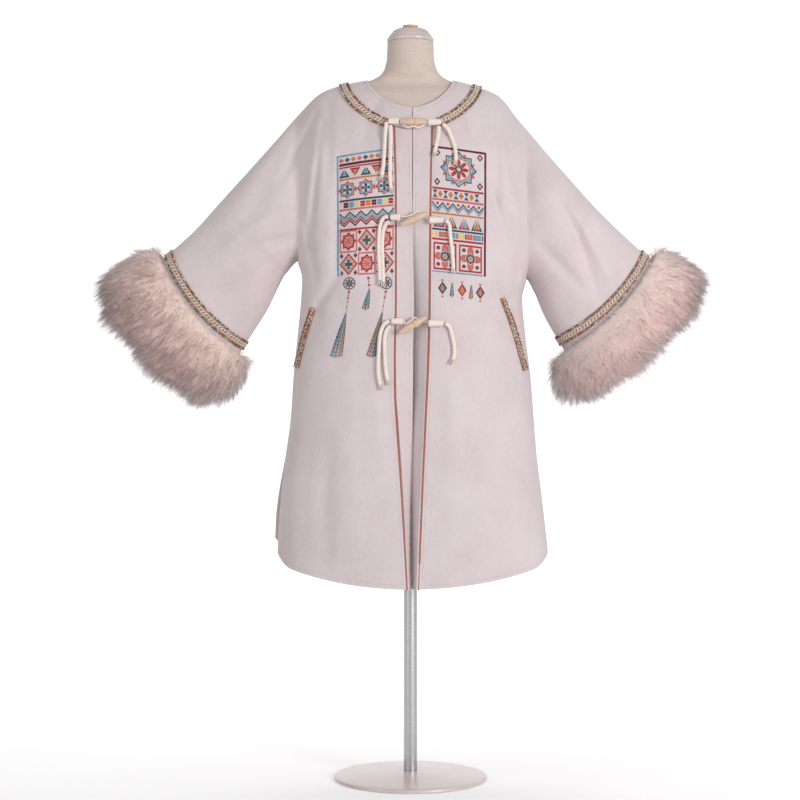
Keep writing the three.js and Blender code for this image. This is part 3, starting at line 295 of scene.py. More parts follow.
def curve(at, value):
    """A cubic through the rows that never overshoots them: inner slopes are the harmonic mean of
    the two rises beside them, and the end slopes run on straight."""
    order = np.argsort(at)
    x, y = np.asarray(at, float)[order], np.asarray(value, float)[order]
    rise = np.diff(y) / np.diff(x)
    same = rise[:-1] * rise[1:] > 0
    total = np.where(same, rise[:-1] + rise[1:], 1)
    slope = np.concatenate([rise[:1], np.where(same, 2 * rise[:-1] * rise[1:] / total, 0), rise[-1:]])

    def read(v):
        v = np.asarray(v, float)
        i = np.clip(np.searchsorted(x, v, "right") - 1, 0, len(x) - 2)
        wide = x[i + 1] - x[i]
        t = (v - x[i]) / wide
        inside = (
            y[i] * (1 + 2 * t) * (1 - t) ** 2
            + slope[i] * wide * t * (1 - t) ** 2
            + y[i + 1] * t * t * (3 - 2 * t)
            - slope[i + 1] * wide * t * t * (1 - t)
        )
        before = y[0] + slope[0] * (v - x[0])
        after = y[-1] + slope[-1] * (v - x[-1])
        return np.where(v < x[0], before, np.where(v > x[-1], after, inside))

    return read


def smooth_line(route, count):
    """Evenly spaced points along the centripetal Catmull-Rom curve through the route: in each
    span the cubic Hermite whose end slopes weigh the two chords beside them by the root of
    their lengths."""
    route = np.asarray(route, float)
    ends = np.concatenate([[2 * route[0] - route[1]], route, [2 * route[-1] - route[-2]]])
    knots = np.sqrt(np.linalg.norm(np.diff(ends, axis=0), axis=1))
    chords = np.diff(ends, axis=0) / knots[:, None]
    weights = (knots[:-1] / (knots[:-1] + knots[1:]))[:, None]
    slopes = chords[:-1] * (1 - weights) + chords[1:] * weights
    t = np.linspace(0, 1, 40, endpoint=False)[None, :, None]
    a, b = route[:-1, None], route[1:, None]
    reach = knots[1:-1, None, None]
    line = (
        a * (1 + 2 * t) * (1 - t) ** 2 + slopes[:-1, None] * reach * t * (1 - t) ** 2
        + b * t * t * (3 - 2 * t) - slopes[1:, None] * reach * t * t * (1 - t)
    ).reshape(-1, route.shape[1])
    line = np.concatenate([line, route[-1:]])
    far = distance_along(line)
    even = np.linspace(0, far[-1], count)
    return np.stack([np.interp(even, far, line[:, k]) for k in range(route.shape[1])], -1)


def distance_along(line):
    """How far along the line each of its points is."""
    return np.concatenate([[0], np.cumsum(np.linalg.norm(np.diff(line, axis=0), axis=1))])


def length_of(line):
    """Sum of the steps from point to point."""
    return float(np.linalg.norm(np.diff(line, axis=0), axis=1).sum())


# ---------------------------------------------------------------- the cloth's form
ridge_of = {side: curve(RIDGE[:, 0], RIDGE[:, k]) for k, side in ((1, "right"), (2, "left"))}
half_width = {side: curve(SIDE[:, 0], SIDE[:, k]) for k, side in ((1, "right"), (2, "left"))}
underarm = {side: curve(rows[:, 0], rows[:, 1]) for side, rows in UNDERARM.items()}
front_depth = curve(DEPTH[:, 0], DEPTH[:, 1])
back_depth = curve(DEPTH[:, 0], DEPTH[:, 2])
sleeve_depth = curve(SLEEVE_DEPTH[:, 0], SLEEVE_DEPTH[:, 1])


def sleeve_frame(side):
    """A sleeve's own coordinates, s along it from the armpit and t across it: the distance from
    the middle and the height, turned by the sleeve's fall."""
    fall = np.radians(SLEEVE[side]["fall"])
    cos, sin = np.cos(fall), np.sin(fall)
    start = cos * SLEEVE[side]["pit"] - sin * ARMPIT_Z[side]
    rows = RIDGE[RIDGE[:, 0] >= 88]
    top_z = rows[:, 1 if side == "right" else 2]
    top = (cos * rows[:, 0] - sin * top_z - start, sin * rows[:, 0] + cos * top_z)
    under = UNDERARM[side]
    low_s = cos * under[:, 0] - sin * under[:, 1] - start
    low_t = sin * under[:, 0] + cos * under[:, 1]
    low_s[0], low_t[0] = -320, low_t[1] - 200
    return {"cos": cos, "sin": sin, "start": start, "top": curve(*top), "low": curve(low_s, low_t)}


frames = {side: sleeve_frame(side) for side in SIDES}


def sided(read, x, at):
    """The right side's reading where x is negative, and the left side's elsewhere."""
    return np.where(x < 0, read["right"](at), read["left"](at))


def fold_height(folds, x, z):
    """Sum of the folds: each is height * exp(-(distance to its line / width)^2), fading as the
    sine of the share along it."""
    total = np.zeros(np.broadcast(x, z).shape)
    for line, wide, high in folds:
        line = np.array(line, float)
        start, step = line[:-1], np.diff(line, axis=0)
        dx, dz = x[..., None] - start[:, 0], z[..., None] - start[:, 1]
        t = np.clip((dx * step[:, 0] + dz * step[:, 1]) / (step ** 2).sum(1), 0, 1)
        away = np.hypot(dx - t * step[:, 0], dz - t * step[:, 1])
        nearest = away.argmin(-1)[..., None]
        share = (nearest + np.take_along_axis(t, nearest, -1))[..., 0] / len(step)
        near = np.take_along_axis(away, nearest, -1)[..., 0]
        total = total + high * np.exp(-((near / wide) ** 2)) * np.sin(np.pi * mix(0.12, 0.88, share))
    return total


def sleeve_share(x, z, side):
    """The sleeve's half depth there: its depth along s times the bulge across t."""
    f = frames[side]
    far = np.abs(x)
    s = f["cos"] * far - f["sin"] * z - f["start"]
    t = f["sin"] * far + f["cos"] * z
    half = (f["top"](s) - f["low"](s)) / 2
    across = (t - f["low"](s) - half) / half
    return np.maximum(0, sleeve_depth(np.clip(s, -250, 300))) * bulge(across, ROUND["sleeve"])


def depth(x, z, behind):
    """Depth of the cloth from the plane of the seams: body and sleeve blended as
    (body^4 + sleeve^4)^(1/4), with the folds and creases laid on."""
    round_over = np.where(behind, ROUND["back"], ROUND["front"])
    above = np.clip((sided(ridge_of, x, np.abs(x)) - z) / round_over, 0, 1)
    cap = np.sqrt(1 - (1 - above) ** 2)
    deep = np.where(behind, back_depth(z), front_depth(z))
    body = deep * bulge(np.abs(x) / sided(half_width, x, z), ROUND["body"]) * cap
    sleeve = np.where(x < 0, sleeve_share(x, z, "right"), sleeve_share(x, z, "left"))
    plain = (body ** ROUND["blend"] + sleeve ** ROUND["blend"]) ** (1 / ROUND["blend"])
    relief = np.where(
        behind,
        fold_height(BACK_FOLDS, x, z) + CREASE_DEPTH * fold_height(BACK_CREASES, x, z),
        fold_height(FOLDS, x, z) + CREASE_DEPTH * fold_height(CREASES, x, z),
    )
    return plain + relief * smooth((plain - RELIEF["from"]) / RELIEF["over"])


def skin(x, z, behind=False, lift=0.0, on_ridge=False):
    """The cloth's outer surface at (x, z), moved out along its normal by lift. On the ridge both
    faces give the same point."""
    x, z, behind, on_ridge = np.broadcast_arrays(
        np.asarray(x, float), np.asarray(z, float), behind, on_ridge
    )
    face = np.where(behind, 1.0, -1.0)

    def at(px, pz):
        """y of the surface, with the slit's opening growing as the share out to the power 6."""
        share = np.clip(np.abs(px) / sided(half_width, px, pz), 0, 1)
        opening = SLIT["open"] * smooth((SLIT["top"] - pz) / (SLIT["top"] - HEM["middle"])) * share ** 6
        return face * (SEAM + depth(px, pz, behind) + opening)

    point = np.stack([x, np.where(on_ridge, 0, at(x, z)), z], -1)
    if not np.any(lift):
        return point
    step = 2
    slope_x = (at(x + step, z) - at(x - step, z)) / (2 * step)
    slope_z = (at(x, z + step) - at(x, z - step)) / (2 * step)
    out = face[..., None] * np.stack([-slope_x, np.where(on_ridge, 0, 1), -slope_z], -1)
    return point + unit(out) * np.asarray(lift, float)[..., None]


# ---------------------------------------------------------------- meshes
def grid_faces(rows, columns, closed=False, keep=None):
    """Four-sided faces of a grid of points; closed joins the last column to the first."""
    r, c = np.mgrid[0:rows - 1, 0:columns - (0 if closed else 1)]
    d = (c + 1) % columns
    near, far = r * columns, (r + 1) * columns
    quads = np.stack([near + c, far + c, far + d, near + d], -1)
    return quads[keep] if keep is not None else quads.reshape(-1, 4)


def walled(points, faces, wall):
    """A second skin one wall further in, joined to the first along each open edge. The outer side
    faces away from the plane of the seams, and points in that plane move within it."""
    used, faces = np.unique(faces, return_inverse=True)
    faces = faces.reshape(-1, 4)
    points = points.reshape(-1, 3)[used]
    corner = points[faces]
    across = np.cross(corner[:, 2] - corner[:, 0], corner[:, 3] - corner[:, 1])
    normals = np.stack(
        [np.bincount(faces.ravel(), np.repeat(across[:, k], 4), len(points)) for k in range(3)], -1
    )
    if (normals[:, 1] * points[:, 1]).sum() < 0:
        normals, faces = -normals, faces[:, ::-1]
    normals[np.abs(points[:, 1]) < 2 * SEAM, 1] = 0
    inner = points - unit(normals) * wall
    count = len(points)
    edges = np.concatenate([faces[:, [k, (k + 1) % 4]] for k in range(4)])
    open_edge = ~np.isin(edges[:, 0] * count + edges[:, 1], edges[:, 1] * count + edges[:, 0])
    a, b = edges[open_edge].T
    rim = np.stack([b, a, a + count, b + count], -1)
    return np.concatenate([points, inner]), [faces, faces[:, ::-1] + count, rim]


def signed_volume(points, blocks):
    """Six times the volume inside a closed mesh: negative where its faces point in."""
    total = 0.0
    for faces in blocks:
        for k in range(1, faces.shape[1] - 1):
            a, b, c = points[faces[:, 0]], points[faces[:, k]], points[faces[:, k + 1]]
            total += float(np.einsum("ij,ij->i", a, np.cross(b, c)).sum())
    return total


def make(name, points, blocks, material, slot, tint=None, sharp=40, normals=None, replaces=()):
    """Puts a surface into the scene, riding on the part. A closed one is turned the right way
    round; one with its own normals stays as it is."""
    points = np.asarray(points, float).reshape(-1, 3)
    blocks = [np.asarray(faces) for faces in blocks if len(faces)]
    if normals is None and signed_volume(points - points.mean(0), blocks) < 0:
        blocks = [faces[:, ::-1] for faces in blocks]
    sizes = np.concatenate([np.full(len(faces), faces.shape[1]) for faces in blocks])
    corners = np.concatenate([faces.ravel() for faces in blocks]).astype(np.int32)
    mesh = bpy.data.meshes.new(name)
    mesh.vertices.add(len(points))
    mesh.vertices.foreach_set("co", (points * MM).astype(np.float32).ravel())
    mesh.loops.add(len(corners))
    mesh.loops.foreach_set("vertex_index", corners)
    mesh.polygons.add(len(sizes))
    mesh.polygons.foreach_set("loop_start", (np.cumsum(sizes) - sizes).astype(np.int32))
    mesh.polygons.foreach_set("use_smooth", np.ones(len(sizes), bool))
    if tint is not None:
        layer = mesh.color_attributes.new("tint", "FLOAT_COLOR", "POINT")
        rgba = np.concatenate([tint.reshape(-1, 3), np.ones((len(points), 1))], 1)
        layer.data.foreach_set("color", rgba.astype(np.float32).ravel())
    mesh.update(calc_edges=True)
    mesh.validate()
    if sharp:
        mesh.set_sharp_from_angle(angle=np.radians(sharp))
    if normals is not None:
        mesh.normals_split_custom_set_from_vertices(normals.reshape(-1, 3).astype(np.float32))
    mesh.materials.append(material)
    piece = bpy.data.objects.new(name, mesh)
    bpy.context.scene.collection.objects.link(piece)
    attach(piece, "root")
    if replaces:
        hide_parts(*replaces)
    return piece


def cloth_piece(name, grid, material, slot, replaces, wall=WALL, closed=False, keep=None):
    """A wall of cloth from a grid of points on its outer side."""
    mesh = walled(grid, grid_faces(*grid.shape[:2], closed, keep), wall)
    return make(name, *mesh, material, slot, replaces=replaces)


def capped(grid):
    """Points and faces of a tube of rings, closed at each end by a fan round a middle point."""
    rows, columns = grid.shape[:2]
    points = np.concatenate([grid.reshape(-1, 3), grid[:1].mean(1), grid[-1:].mean(1)])
    c = np.arange(columns)
    d = (c + 1) % columns
    last, first_pole, last_pole = (rows - 1) * columns, rows * columns, rows * columns + 1
    start = np.stack([np.full(columns, first_pole), c, d], -1)
    end = np.stack([np.full(columns, last_pole), last + d, last + c], -1)
    return points, [grid_faces(rows, columns, True), np.concatenate([start, end])]


def rings_along(line, radius, sides):
    """Rings round a line: radius(share along, angle) round each of its points."""
    tangent = unit(np.gradient(line, axis=0))
    side = unit(np.cross(tangent, np.array([0.02, -1.0, 0.05])))
    out = np.cross(side, tangent)
    share = np.linspace(0, 1, len(line))[:, None]
    angle = 2 * np.pi * np.arange(sides) / sides
    r = np.broadcast_to(radius(share, angle), (len(line), sides))[..., None]
    spread = np.cos(angle)[None, :, None] * side[:, None] + np.sin(angle)[None, :, None] * out[:, None]
    return line[:, None] + r * spread


def grain(rows, sides=4):
    """A small closed body round the first axis: rows of (place along, radius), pointed at each end."""
    rows = np.array(rows, float)
    angle = 2 * np.pi * np.arange(sides) / sides
    along, radius = rows[1:-1, :1], rows[1:-1, 1:]
    grid = np.stack([np.repeat(along, sides, 1), radius * np.cos(angle), radius * np.sin(angle)], -1)
    points, blocks = capped(grid)
    points[-2:] = [(rows[0, 0], 0, 0), (rows[-1, 0], 0, 0)]
    return points, blocks


def copied(blocks, shift):
    """The faces of every copy of a body, each shifted to its own points."""
    return [(faces[None] + shift).reshape(-1, faces.shape[1]) for faces in blocks]


def scattered(body, centre, axes, size):
    """Many copies of a small body: each point is centre + axes * (size * point)."""
    points, blocks = body
    placed = centre[:, None] + np.einsum("nij,nmj->nmi", axes, points[None] * size[:, None])
    shift = (np.arange(len(centre)) * len(points))[:, None, None]
    return placed.reshape(-1, 3), copied(blocks, shift)


def laid(surface, u, v, heading, lift):
    """Centres and axes (along, aside, out) of small bodies laid on a surface(u, v, lift), each
    headed along (cos, sin) of its heading in the surface's own coordinates."""
    u, v, heading = (np.asarray(k, float).ravel() for k in np.broadcast_arrays(u, v, heading))
    reach = 0.01
    along = surface(u + reach * np.cos(heading), v + reach * np.sin(heading), 0.0)
    centre = surface(u, v, 0.0)
    out = unit(surface(u, v, 1.0) - centre)
    ahead = along - centre
    ahead = unit(ahead - out * (ahead * out).sum(-1, keepdims=True))
    aside = np.cross(out, ahead)
    return centre + out * lift, np.stack([ahead, aside, out], -1)


# ---------------------------------------------------------------- colours and finishes
def shade(code):
    """Linear red, green and blue of a screen colour."""
    rgb = np.array([int(code[k:k + 2], 16) for k in (1, 3, 5)]) / 255
    return np.where(rgb <= 0.04045, rgb / 12.92, ((rgb + 0.055) / 1.055) ** 2.4)


def rgba(code):
    """The same with full cover, for a socket."""
    return (*shade(code), 1.0)


def node(tree, kind, inputs=None, **settings):
    """Adds a node with its settings; its inputs are constants or other nodes' sockets."""
    made = tree.nodes.new(kind)
    for key, value in settings.items():
        setattr(made, key, value)
    for key, value in (inputs or {}).items():
        if isinstance(value, bpy.types.NodeSocket):
            tree.links.new(value, made.inputs[key])
        else:
            made.inputs[key].default_value = value
    return made


def places(tree, stretch=(1, 1, 1), turn=(0, 0, 0)):
    """The piece's own coordinates, stretched and turned."""
    source = node(tree, "ShaderNodeTexCoord").outputs["Object"]
    inputs = {"Vector": source, "Scale": stretch, "Rotation": turn}
    return node(tree, "ShaderNodeMapping", inputs).outputs[0]


def noise(tree, where, scale, detail, rough):
    """Cloudy grain from 0 to 1."""
    inputs = {"Vector": where, "Scale": scale, "Detail": detail, "Roughness": rough}
    return node(tree, "ShaderNodeTexNoise", inputs).outputs[0]


def wave(tree, where, scale, distort, direction):
    """Soft bands across a direction."""
    inputs = {"Vector": where, "Scale": scale, "Distortion": distort}
    return node(tree, "ShaderNodeTexWave", inputs, bands_direction=direction).outputs["Fac"]


def sums(tree, kind, a, b):
    """a and b added or multiplied."""
    return node(tree, "ShaderNodeMath", {0: a, 1: b}, operation=kind).outputs[0]


def between(tree, amount, a, b):
    """Colour a where the amount is 0 and b where it is 1."""
    return node(tree, "ShaderNodeMix", {0: amount, 6: a, 7: b}, data_type="RGBA").outputs[2]


def ranged(tree, value, low, high, to_low=0.0, to_high=1.0):
    """The value's range from low to high, mapped to another range."""
    inputs = {"Value": value, "From Min": low, "From Max": high, "To Min": to_low, "To Max": to_high}
    return node(tree, "ShaderNodeMapRange", inputs).outputs[0]


def finish(name, build, **constants):
    """A material: build(tree) gives its colour, roughness and height sockets, and the height's
    strength and distance; the constants go on the shader's own sockets."""
    material = bpy.data.materials.new(name)
    material.use_nodes = True
    tree = material.node_tree
    shader = tree.nodes["Principled BSDF"]
    for key, value in constants.items():
        shader.inputs[key.replace("_", " ")].default_value = value
    colour, roughness, height, strength, distance = build(tree)
    tree.links.new(colour, shader.inputs["Base Color"])
    tree.links.new(roughness, shader.inputs["Roughness"])
    raised = node(tree, "ShaderNodeBump", {"Height": height, "Strength": strength, "Distance": distance})
    tree.links.new(raised.outputs[0], shader.inputs["Normal"])
    return material


def wool_look(tree):
    """Felted wool: short fibres in every direction, a soft mottle, and small pills."""
    where = places(tree)
    fibre = noise(tree, where, 900, 4, 0.7)
    nap = noise(tree, places(tree, (1, 1, 0.35)), 260, 5, 0.65)
    mottle = noise(tree, where, 9, 4, 0.6)
    pills = node(tree, "ShaderNodeTexVoronoi", {"Vector": where, "Scale": 130}).outputs["Distance"]
    colour = between(tree, ranged(tree, mottle, 0.35, 0.68), rgba("#d3c4c6"), rgba("#ded0d2"))
    colour = between(tree, ranged(tree, nap, 0.3, 0.75, 0.0, 0.5), colour, rgba("#e6dbdc"))
    colour = between(tree, ranged(tree, fibre, 0.55, 0.9, 0.0, 0.4), colour, rgba("#bfadad"))
    height = sums(tree, "ADD", nap, sums(tree, "MULTIPLY", fibre, 0.6))
    height = sums(tree, "ADD", height, ranged(tree, pills, 0.1, 0.5, 0.25, 0.0))
    return colour, ranged(tree, nap, 0.2, 0.8, 0.86, 0.98), height, 0.42, 0.0012


def thread_look(low, high, scale):
    """Spun thread: a fine streak between two colours."""
    def build(tree):
        where = places(tree)
        streak = noise(tree, where, scale, 4, 0.6)
        colour = between(tree, ranged(tree, streak, 0.3, 0.7), rgba(low), rgba(high))
        return colour, ranged(tree, streak, 0.2, 0.8, 0.72, 0.92), streak, 0.4, 0.0006
    return build


def tinted_look(gloss_low, gloss_high, scale, strength=0.35):
    """Thread or hair whose colour comes from each strand's own tint, lighter and darker in streaks."""
    def build(tree):
        tint = node(tree, "ShaderNodeAttribute", attribute_name="tint").outputs["Color"]
        streak = noise(tree, places(tree), scale, 3, 0.6)
        bright = ranged(tree, streak, 0.25, 0.75, 0.84, 1.12)
        colour = node(tree, "ShaderNodeHueSaturation", {"Color": tint, "Value": bright}).outputs[0]
        return colour, ranged(tree, streak, 0.2, 0.8, gloss_low, gloss_high), streak, strength, 0.0004
    return build


def weave_look(low, high, pitch):
    """Plain weave: two crossed sets of threads with uneven slubs."""
    def build(tree):
        where = places(tree)
        warp = wave(tree, where, pitch, 0.6, "X")
        weft = wave(tree, where, pitch, 0.6, "Z")
        slub = noise(tree, places(tree, (1, 1, 6)), 90, 4, 0.6)
        cross = sums(tree, "MULTIPLY", warp, weft)
        tone = sums(tree, "ADD", sums(tree, "MULTIPLY", cross, 0.6), sums(tree, "MULTIPLY", slub, 0.6))
        colour = between(tree, ranged(tree, tone, 0.15, 0.75), rgba(low), rgba(high))
        return colour, ranged(tree, slub, 0.2, 0.8, 0.82, 0.95), tone, 0.35, 0.0007
    return build


def wood_look(low, high, stretch, turn=0.0):
    """Pale turned wood: growth rings drawn out along the grain, with fine pores."""
    def build(tree):
        where = places(tree, stretch, (0, turn, 0))
        rings = wave(tree, where, 60, 4.0, "Z")
        pores = noise(tree, where, 420, 4, 0.7)
        tone = noise(tree, where, 30, 3, 0.5)
        figure = sums(tree, "ADD", sums(tree, "MULTIPLY", rings, 0.4), sums(tree, "MULTIPLY", tone, 0.7))
        colour = between(tree, ranged(tree, figure, 0.2, 0.95), rgba(low), rgba(high))
        colour = between(tree, ranged(tree, pores, 0.6, 0.8, 0.0, 0.25), colour, rgba("#bd9674"))
        return colour, ranged(tree, pores, 0.3, 0.8, 0.42, 0.62), pores, 0.12, 0.0004
    return build


def lacquer_look(low, high):
    """Sprayed lacquer: almost even, with a faint cloud and fine orange peel."""
    def build(tree):
        where = places(tree)
        cloud = noise(tree, where, 14, 3, 0.5)
        peel = noise(tree, where, 520, 2, 0.5)
        colour = between(tree, ranged(tree, cloud, 0.3, 0.7), rgba(low), rgba(high))
        return colour, ranged(tree, cloud, 0.2, 0.8, 0.26, 0.36), peel, 0.05, 0.0003
    return build


def steel_look(tree):
    """Brushed steel tube: fine scratches round it."""
    scratch = noise(tree, places(tree, (1, 1, 40)), 60, 4, 0.6)
    colour = between(tree, ranged(tree, scratch, 0.3, 0.7), rgba("#a6a6a8"), rgba("#c8c8ca"))
    return colour, ranged(tree, scratch, 0.2, 0.8, 0.24, 0.4), scratch, 0.08, 0.0002


def floor_look(tree):
    """A pale painted studio floor."""
    cloud = noise(tree, places(tree), 1.5, 3, 0.5)
    grit = noise(tree, places(tree), 300, 3, 0.5)
    colour = between(tree, ranged(tree, cloud, 0.3, 0.7), rgba("#f6f5f5"), rgba("#fbfafa"))
    return colour, ranged(tree, grit, 0.2, 0.8, 0.8, 0.9), grit, 0.05, 0.0005


WOOL = finish("felted_wool", wool_look, Sheen_Weight=0.35, Sheen_Roughness=0.5)
STITCHING = finish("sewing_thread", thread_look("#cbbab4", "#e4d6d0", 700), Sheen_Weight=0.2)
BRAID = finish("braid_ground", weave_look("#84695a", "#b89c88", 260), Sheen_Weight=0.15)
BRAID_THREAD = finish("braid_thread", tinted_look(0.6, 0.85, 500), Sheen_Weight=0.15)
SILK = finish("embroidery_silk", tinted_look(0.45, 0.65, 600), Sheen_Weight=0.1)
PIPING_CORD = finish("twisted_piping", thread_look("#a8503f", "#cc7a68", 420), Sheen_Weight=0.3)
ROPE = finish("cotton_rope", thread_look("#eeddd4", "#fbf1e9", 380), Sheen_Weight=0.35)
FUR_LOOK = finish("marabou", tinted_look(0.75, 0.95, 160, 0.2), Sheen_Weight=0.8, Sheen_Roughness=0.35)
LINEN = finish("stretched_linen", weave_look("#c6b3a6", "#e7d8cf", 210), Sheen_Weight=0.15)
LACQUER = finish("pale_lacquer", lacquer_look("#cdbdb9", "#dccecb"), Coat_Weight=0.3, Coat_Roughness=0.2)
PEG_WOOD = finish("peg_wood", wood_look("#b78d60", "#dcb98c", (1, 1, 0.3)))
STEEL = finish("brushed_steel", steel_look, Metallic=1.0)
FLOOR = finish("studio_floor", floor_look, Emission_Strength=0.22)


# ---------------------------------------------------------------- camera, light and floor
def camera():
    """A long lens level with the middle of the piece."""
    data = bpy.data.cameras.new("camera")
    data.lens, data.sensor_width = 85.7, 36
    eye = bpy.data.objects.new("camera", data)
    eye.location = (-0.022, -4.0, 0.795)
    eye.rotation_euler = (np.pi / 2, 0, 0)
    bpy.context.scene.collection.objects.link(eye)
    bpy.context.scene.camera = eye


def lamp(name, place, target, size, power, colour):
    """A soft square lamp that faces its target."""
    data = bpy.data.lights.new(name, "AREA")
    data.size, data.energy, data.color = size, power, colour
    light = bpy.data.objects.new(name, data)
    light.location = place
    towards = Vector(target) - Vector(place)
    light.rotation_euler = towards.to_track_quat("-Z", "Y").to_euler()
    bpy.context.scene.collection.objects.link(light)


def studio():
    """Soft light from the front, a pale sky, and a floor that sweeps up into a backdrop as a
    quarter circle."""
    lamp("key", (2.6, -3.2, 1.3), (0, 0, 0.9), 1.3, 85, (1, 0.99, 0.99))
    lamp("fill", (-2.8, -2.6, 1.2), (0, 0, 0.8), 2.4, 21, (0.99, 0.99, 1))
    lamp("backdrop", (0, 2.2, 4.2), (0, 5.5, 1.4), 3.0, 160, (1, 1, 1))
    world = bpy.data.worlds.new("sky")
    world.use_nodes = True
    sky = world.node_tree.nodes["Background"]
    sky.inputs["Color"].default_value = (1.0, 1.0, 1.0, 1)
    sky.inputs["Strength"].default_value = 0.5
    bpy.context.scene.world = world
    bpy.context.scene.view_settings.view_transform = "Standard"

    reach, rise, bend = 5.0, 5.0, 1.5
    turn = np.linspace(0, np.pi / 2, 24)
    profile = np.concatenate([
        [(-7.0, 0.0)],
        np.stack([reach + bend * np.sin(turn), bend * (1 - np.cos(turn))], -1),
        [(reach + bend, rise)],
    ])
    width, below = np.linspace(-9, 9, 19), 0.0002
    grid = np.stack(np.broadcast_arrays(width[None], profile[:, :1], profile[:, 1:] - below), -1)
    mesh = bpy.data.meshes.new("studio_floor")
    faces = grid_faces(*grid.shape[:2])[:, ::-1]
    mesh.from_pydata(grid.reshape(-1, 3).tolist(), [], faces.tolist())
    mesh.polygons.foreach_set("use_smooth", np.ones(len(faces), bool))
    mesh.materials.append(FLOOR)
    floor = bpy.data.objects.new("studio_floor", mesh)
    bpy.context.scene.collection.objects.link(floor)
    floor.visible_diffuse = False


# ---------------------------------------------------------------- ropes, toggles and loops
def rope_radius(radius, strands, turns):
    """A laid rope: radius * (0.8 + 0.22 |cos(strands / 2 * (angle - twist))|), where the twist grows
    along it to its whole turns."""
    def read(share, angle):
        twist = 2 * np.pi * turns * share
        return radius * (0.8 + 0.22 * np.abs(np.cos(strands / 2 * (angle - twist))))

    return read


def frayed_end(line, radius, seed):
    """Loose yarns past the rope's cut: thin three-sided yarns that part as the power 1.5 of the
    share along them. Some run the full length and the others stop short."""
    draw = np.random.default_rng(seed)
    count, full = ROPE_END["yarns"], ROPE_END["full"]
    start, ahead = line[0], unit(line[-1] - line[0])
    side = unit(np.cross(ahead, [0, -1, 0.05]))
    out = np.cross(side, ahead)
    angle = draw.uniform(0, 2 * np.pi, count)
    root = radius * 0.8 * np.sqrt(draw.uniform(0, 1, count))
    part = draw.uniform(0.15, 0.75, count) * radius
    long = length_of(line) * np.concatenate([np.ones(full), draw.uniform(0.7, 1.0, count - full)])
    t = np.linspace(0, 1, 8)
    spread = (root[:, None] + part[:, None] * t ** 1.5)[..., None]
    away = np.cos(angle)[:, None] * side + np.sin(angle)[:, None] * out
    centre = start + away[:, None] * spread + ahead * (long[:, None] * t)[..., None]
    turn = 2 * np.pi * np.arange(3) / 3
    thick = (ROPE_END["thick"] * (1 - 0.45 * t))[None, :, None, None]
    ring = np.cos(turn)[:, None] * side + np.sin(turn)[:, None] * out
    points = centre[:, :, None] + thick * ring[None, None]
    _, blocks = capped(points[0])
    poles = np.stack([points[:, 0].mean(1), points[:, -1].mean(1)], 1)
    placed = np.concatenate([points.reshape(count, -1, 3), poles], 1)
    shift = (np.arange(count) * placed.shape[1])[:, None, None]
    return placed.reshape(-1, 3), copied(blocks, shift)


def joined(*parts):
    """Several (points, blocks) as one."""
    points = np.concatenate([part[0] for part in parts])
    shift = np.cumsum([0] + [len(part[0]) for part in parts])
    blocks = {}
    for offset, (_, faces_list) in zip(shift, parts):
        for faces in faces_list:
            blocks.setdefault(faces.shape[1], []).append(faces + offset)
    return points, [np.concatenate(faces) for faces in blocks.values()]


def tails():
    """The hanging rope ends: three-strand rope down the cloth, with a frayed end. Each starts in
    its whipping and comes down to lie its own radius and a little more off the cloth."""
    for number, (name, route) in enumerate(TAILS.items()):
        over = OVER_TRIM if name.startswith("top") else 0
        route = np.array(route, float)
        out = np.full(len(route), ROPE_RADIUS + TAIL_LIFT)
        out[0] = KNOT["off"] + over
        out[1] += 1.5 + over
        points = skin(route[:, 0], route[:, 1]) - np.outer(out, [0, 1, 0])
        line = smooth_line(points, 150)
        long = length_of(line)
        cut = int(len(line) * (1 - ROPE_END["fray"] / long))
        tube = rings_along(line[:cut], rope_radius(ROPE_RADIUS, 3, long / ROPE_LAY), 12)
        mesh = joined(capped(tube), frayed_end(line[cut - 2:], ROPE_RADIUS, number))
        piece = make(f"rope_end_{name}", *mesh, ROPE, "rope", sharp=0, replaces=[f"tail_{name}"])


def turned_rows(rows, steps):
    """A turned piece's profile with its corners kept and its long spans divided."""
    rows = np.asarray(rows, float)
    far = distance_along(rows)
    even = np.unique(np.concatenate([far, np.linspace(0, far[-1], steps)]))
    return np.stack([np.interp(even, far, rows[:, k]) for k in (0, 1)], -1)


def revolved(rows, sides, centre=(0, 0, 0), axis=(0, 0, 1), start=(1, 0, 0)):
    """Rings of rows (radius, place along the axis) round an axis."""
    axis, start = unit(np.array(axis, float)), unit(np.array(start, float))
    other = np.cross(axis, start)
    angle = 2 * np.pi * np.arange(sides) / sides
    inner = rows[(rows[:, 0] > 1e-6)]
    spread = np.cos(angle)[:, None] * start + np.sin(angle)[:, None] * other
    grid = np.array(centre, float) + inner[:, None, :1] * spread[None] + inner[:, None, 1:] * axis
    return capped(grid)


def toggle_rows(long):
    """A toggle's profile: flat rounded ends, a barrel that swells, and a groove in the middle."""
    half = long / 2
    place = np.linspace(-half, half, 72)
    share = np.abs(place) / half
    barrel = mix(TOGGLE["thick"], TOGGLE["tip"] + 0.4, smooth((share - 0.2) / 0.8) ** 0.9)
    groove = (TOGGLE["thick"] - TOGGLE["groove"]) * np.exp(-((place / 2.0) ** 4))
    near_end = ((np.abs(place) - half) / TOGGLE["edge"] + 1).clip(0, 1)
    rounded = 0.5 + 0.5 * np.sqrt(1 - near_end ** 2)
    return np.stack([(barrel - groove) * rounded, place], -1)


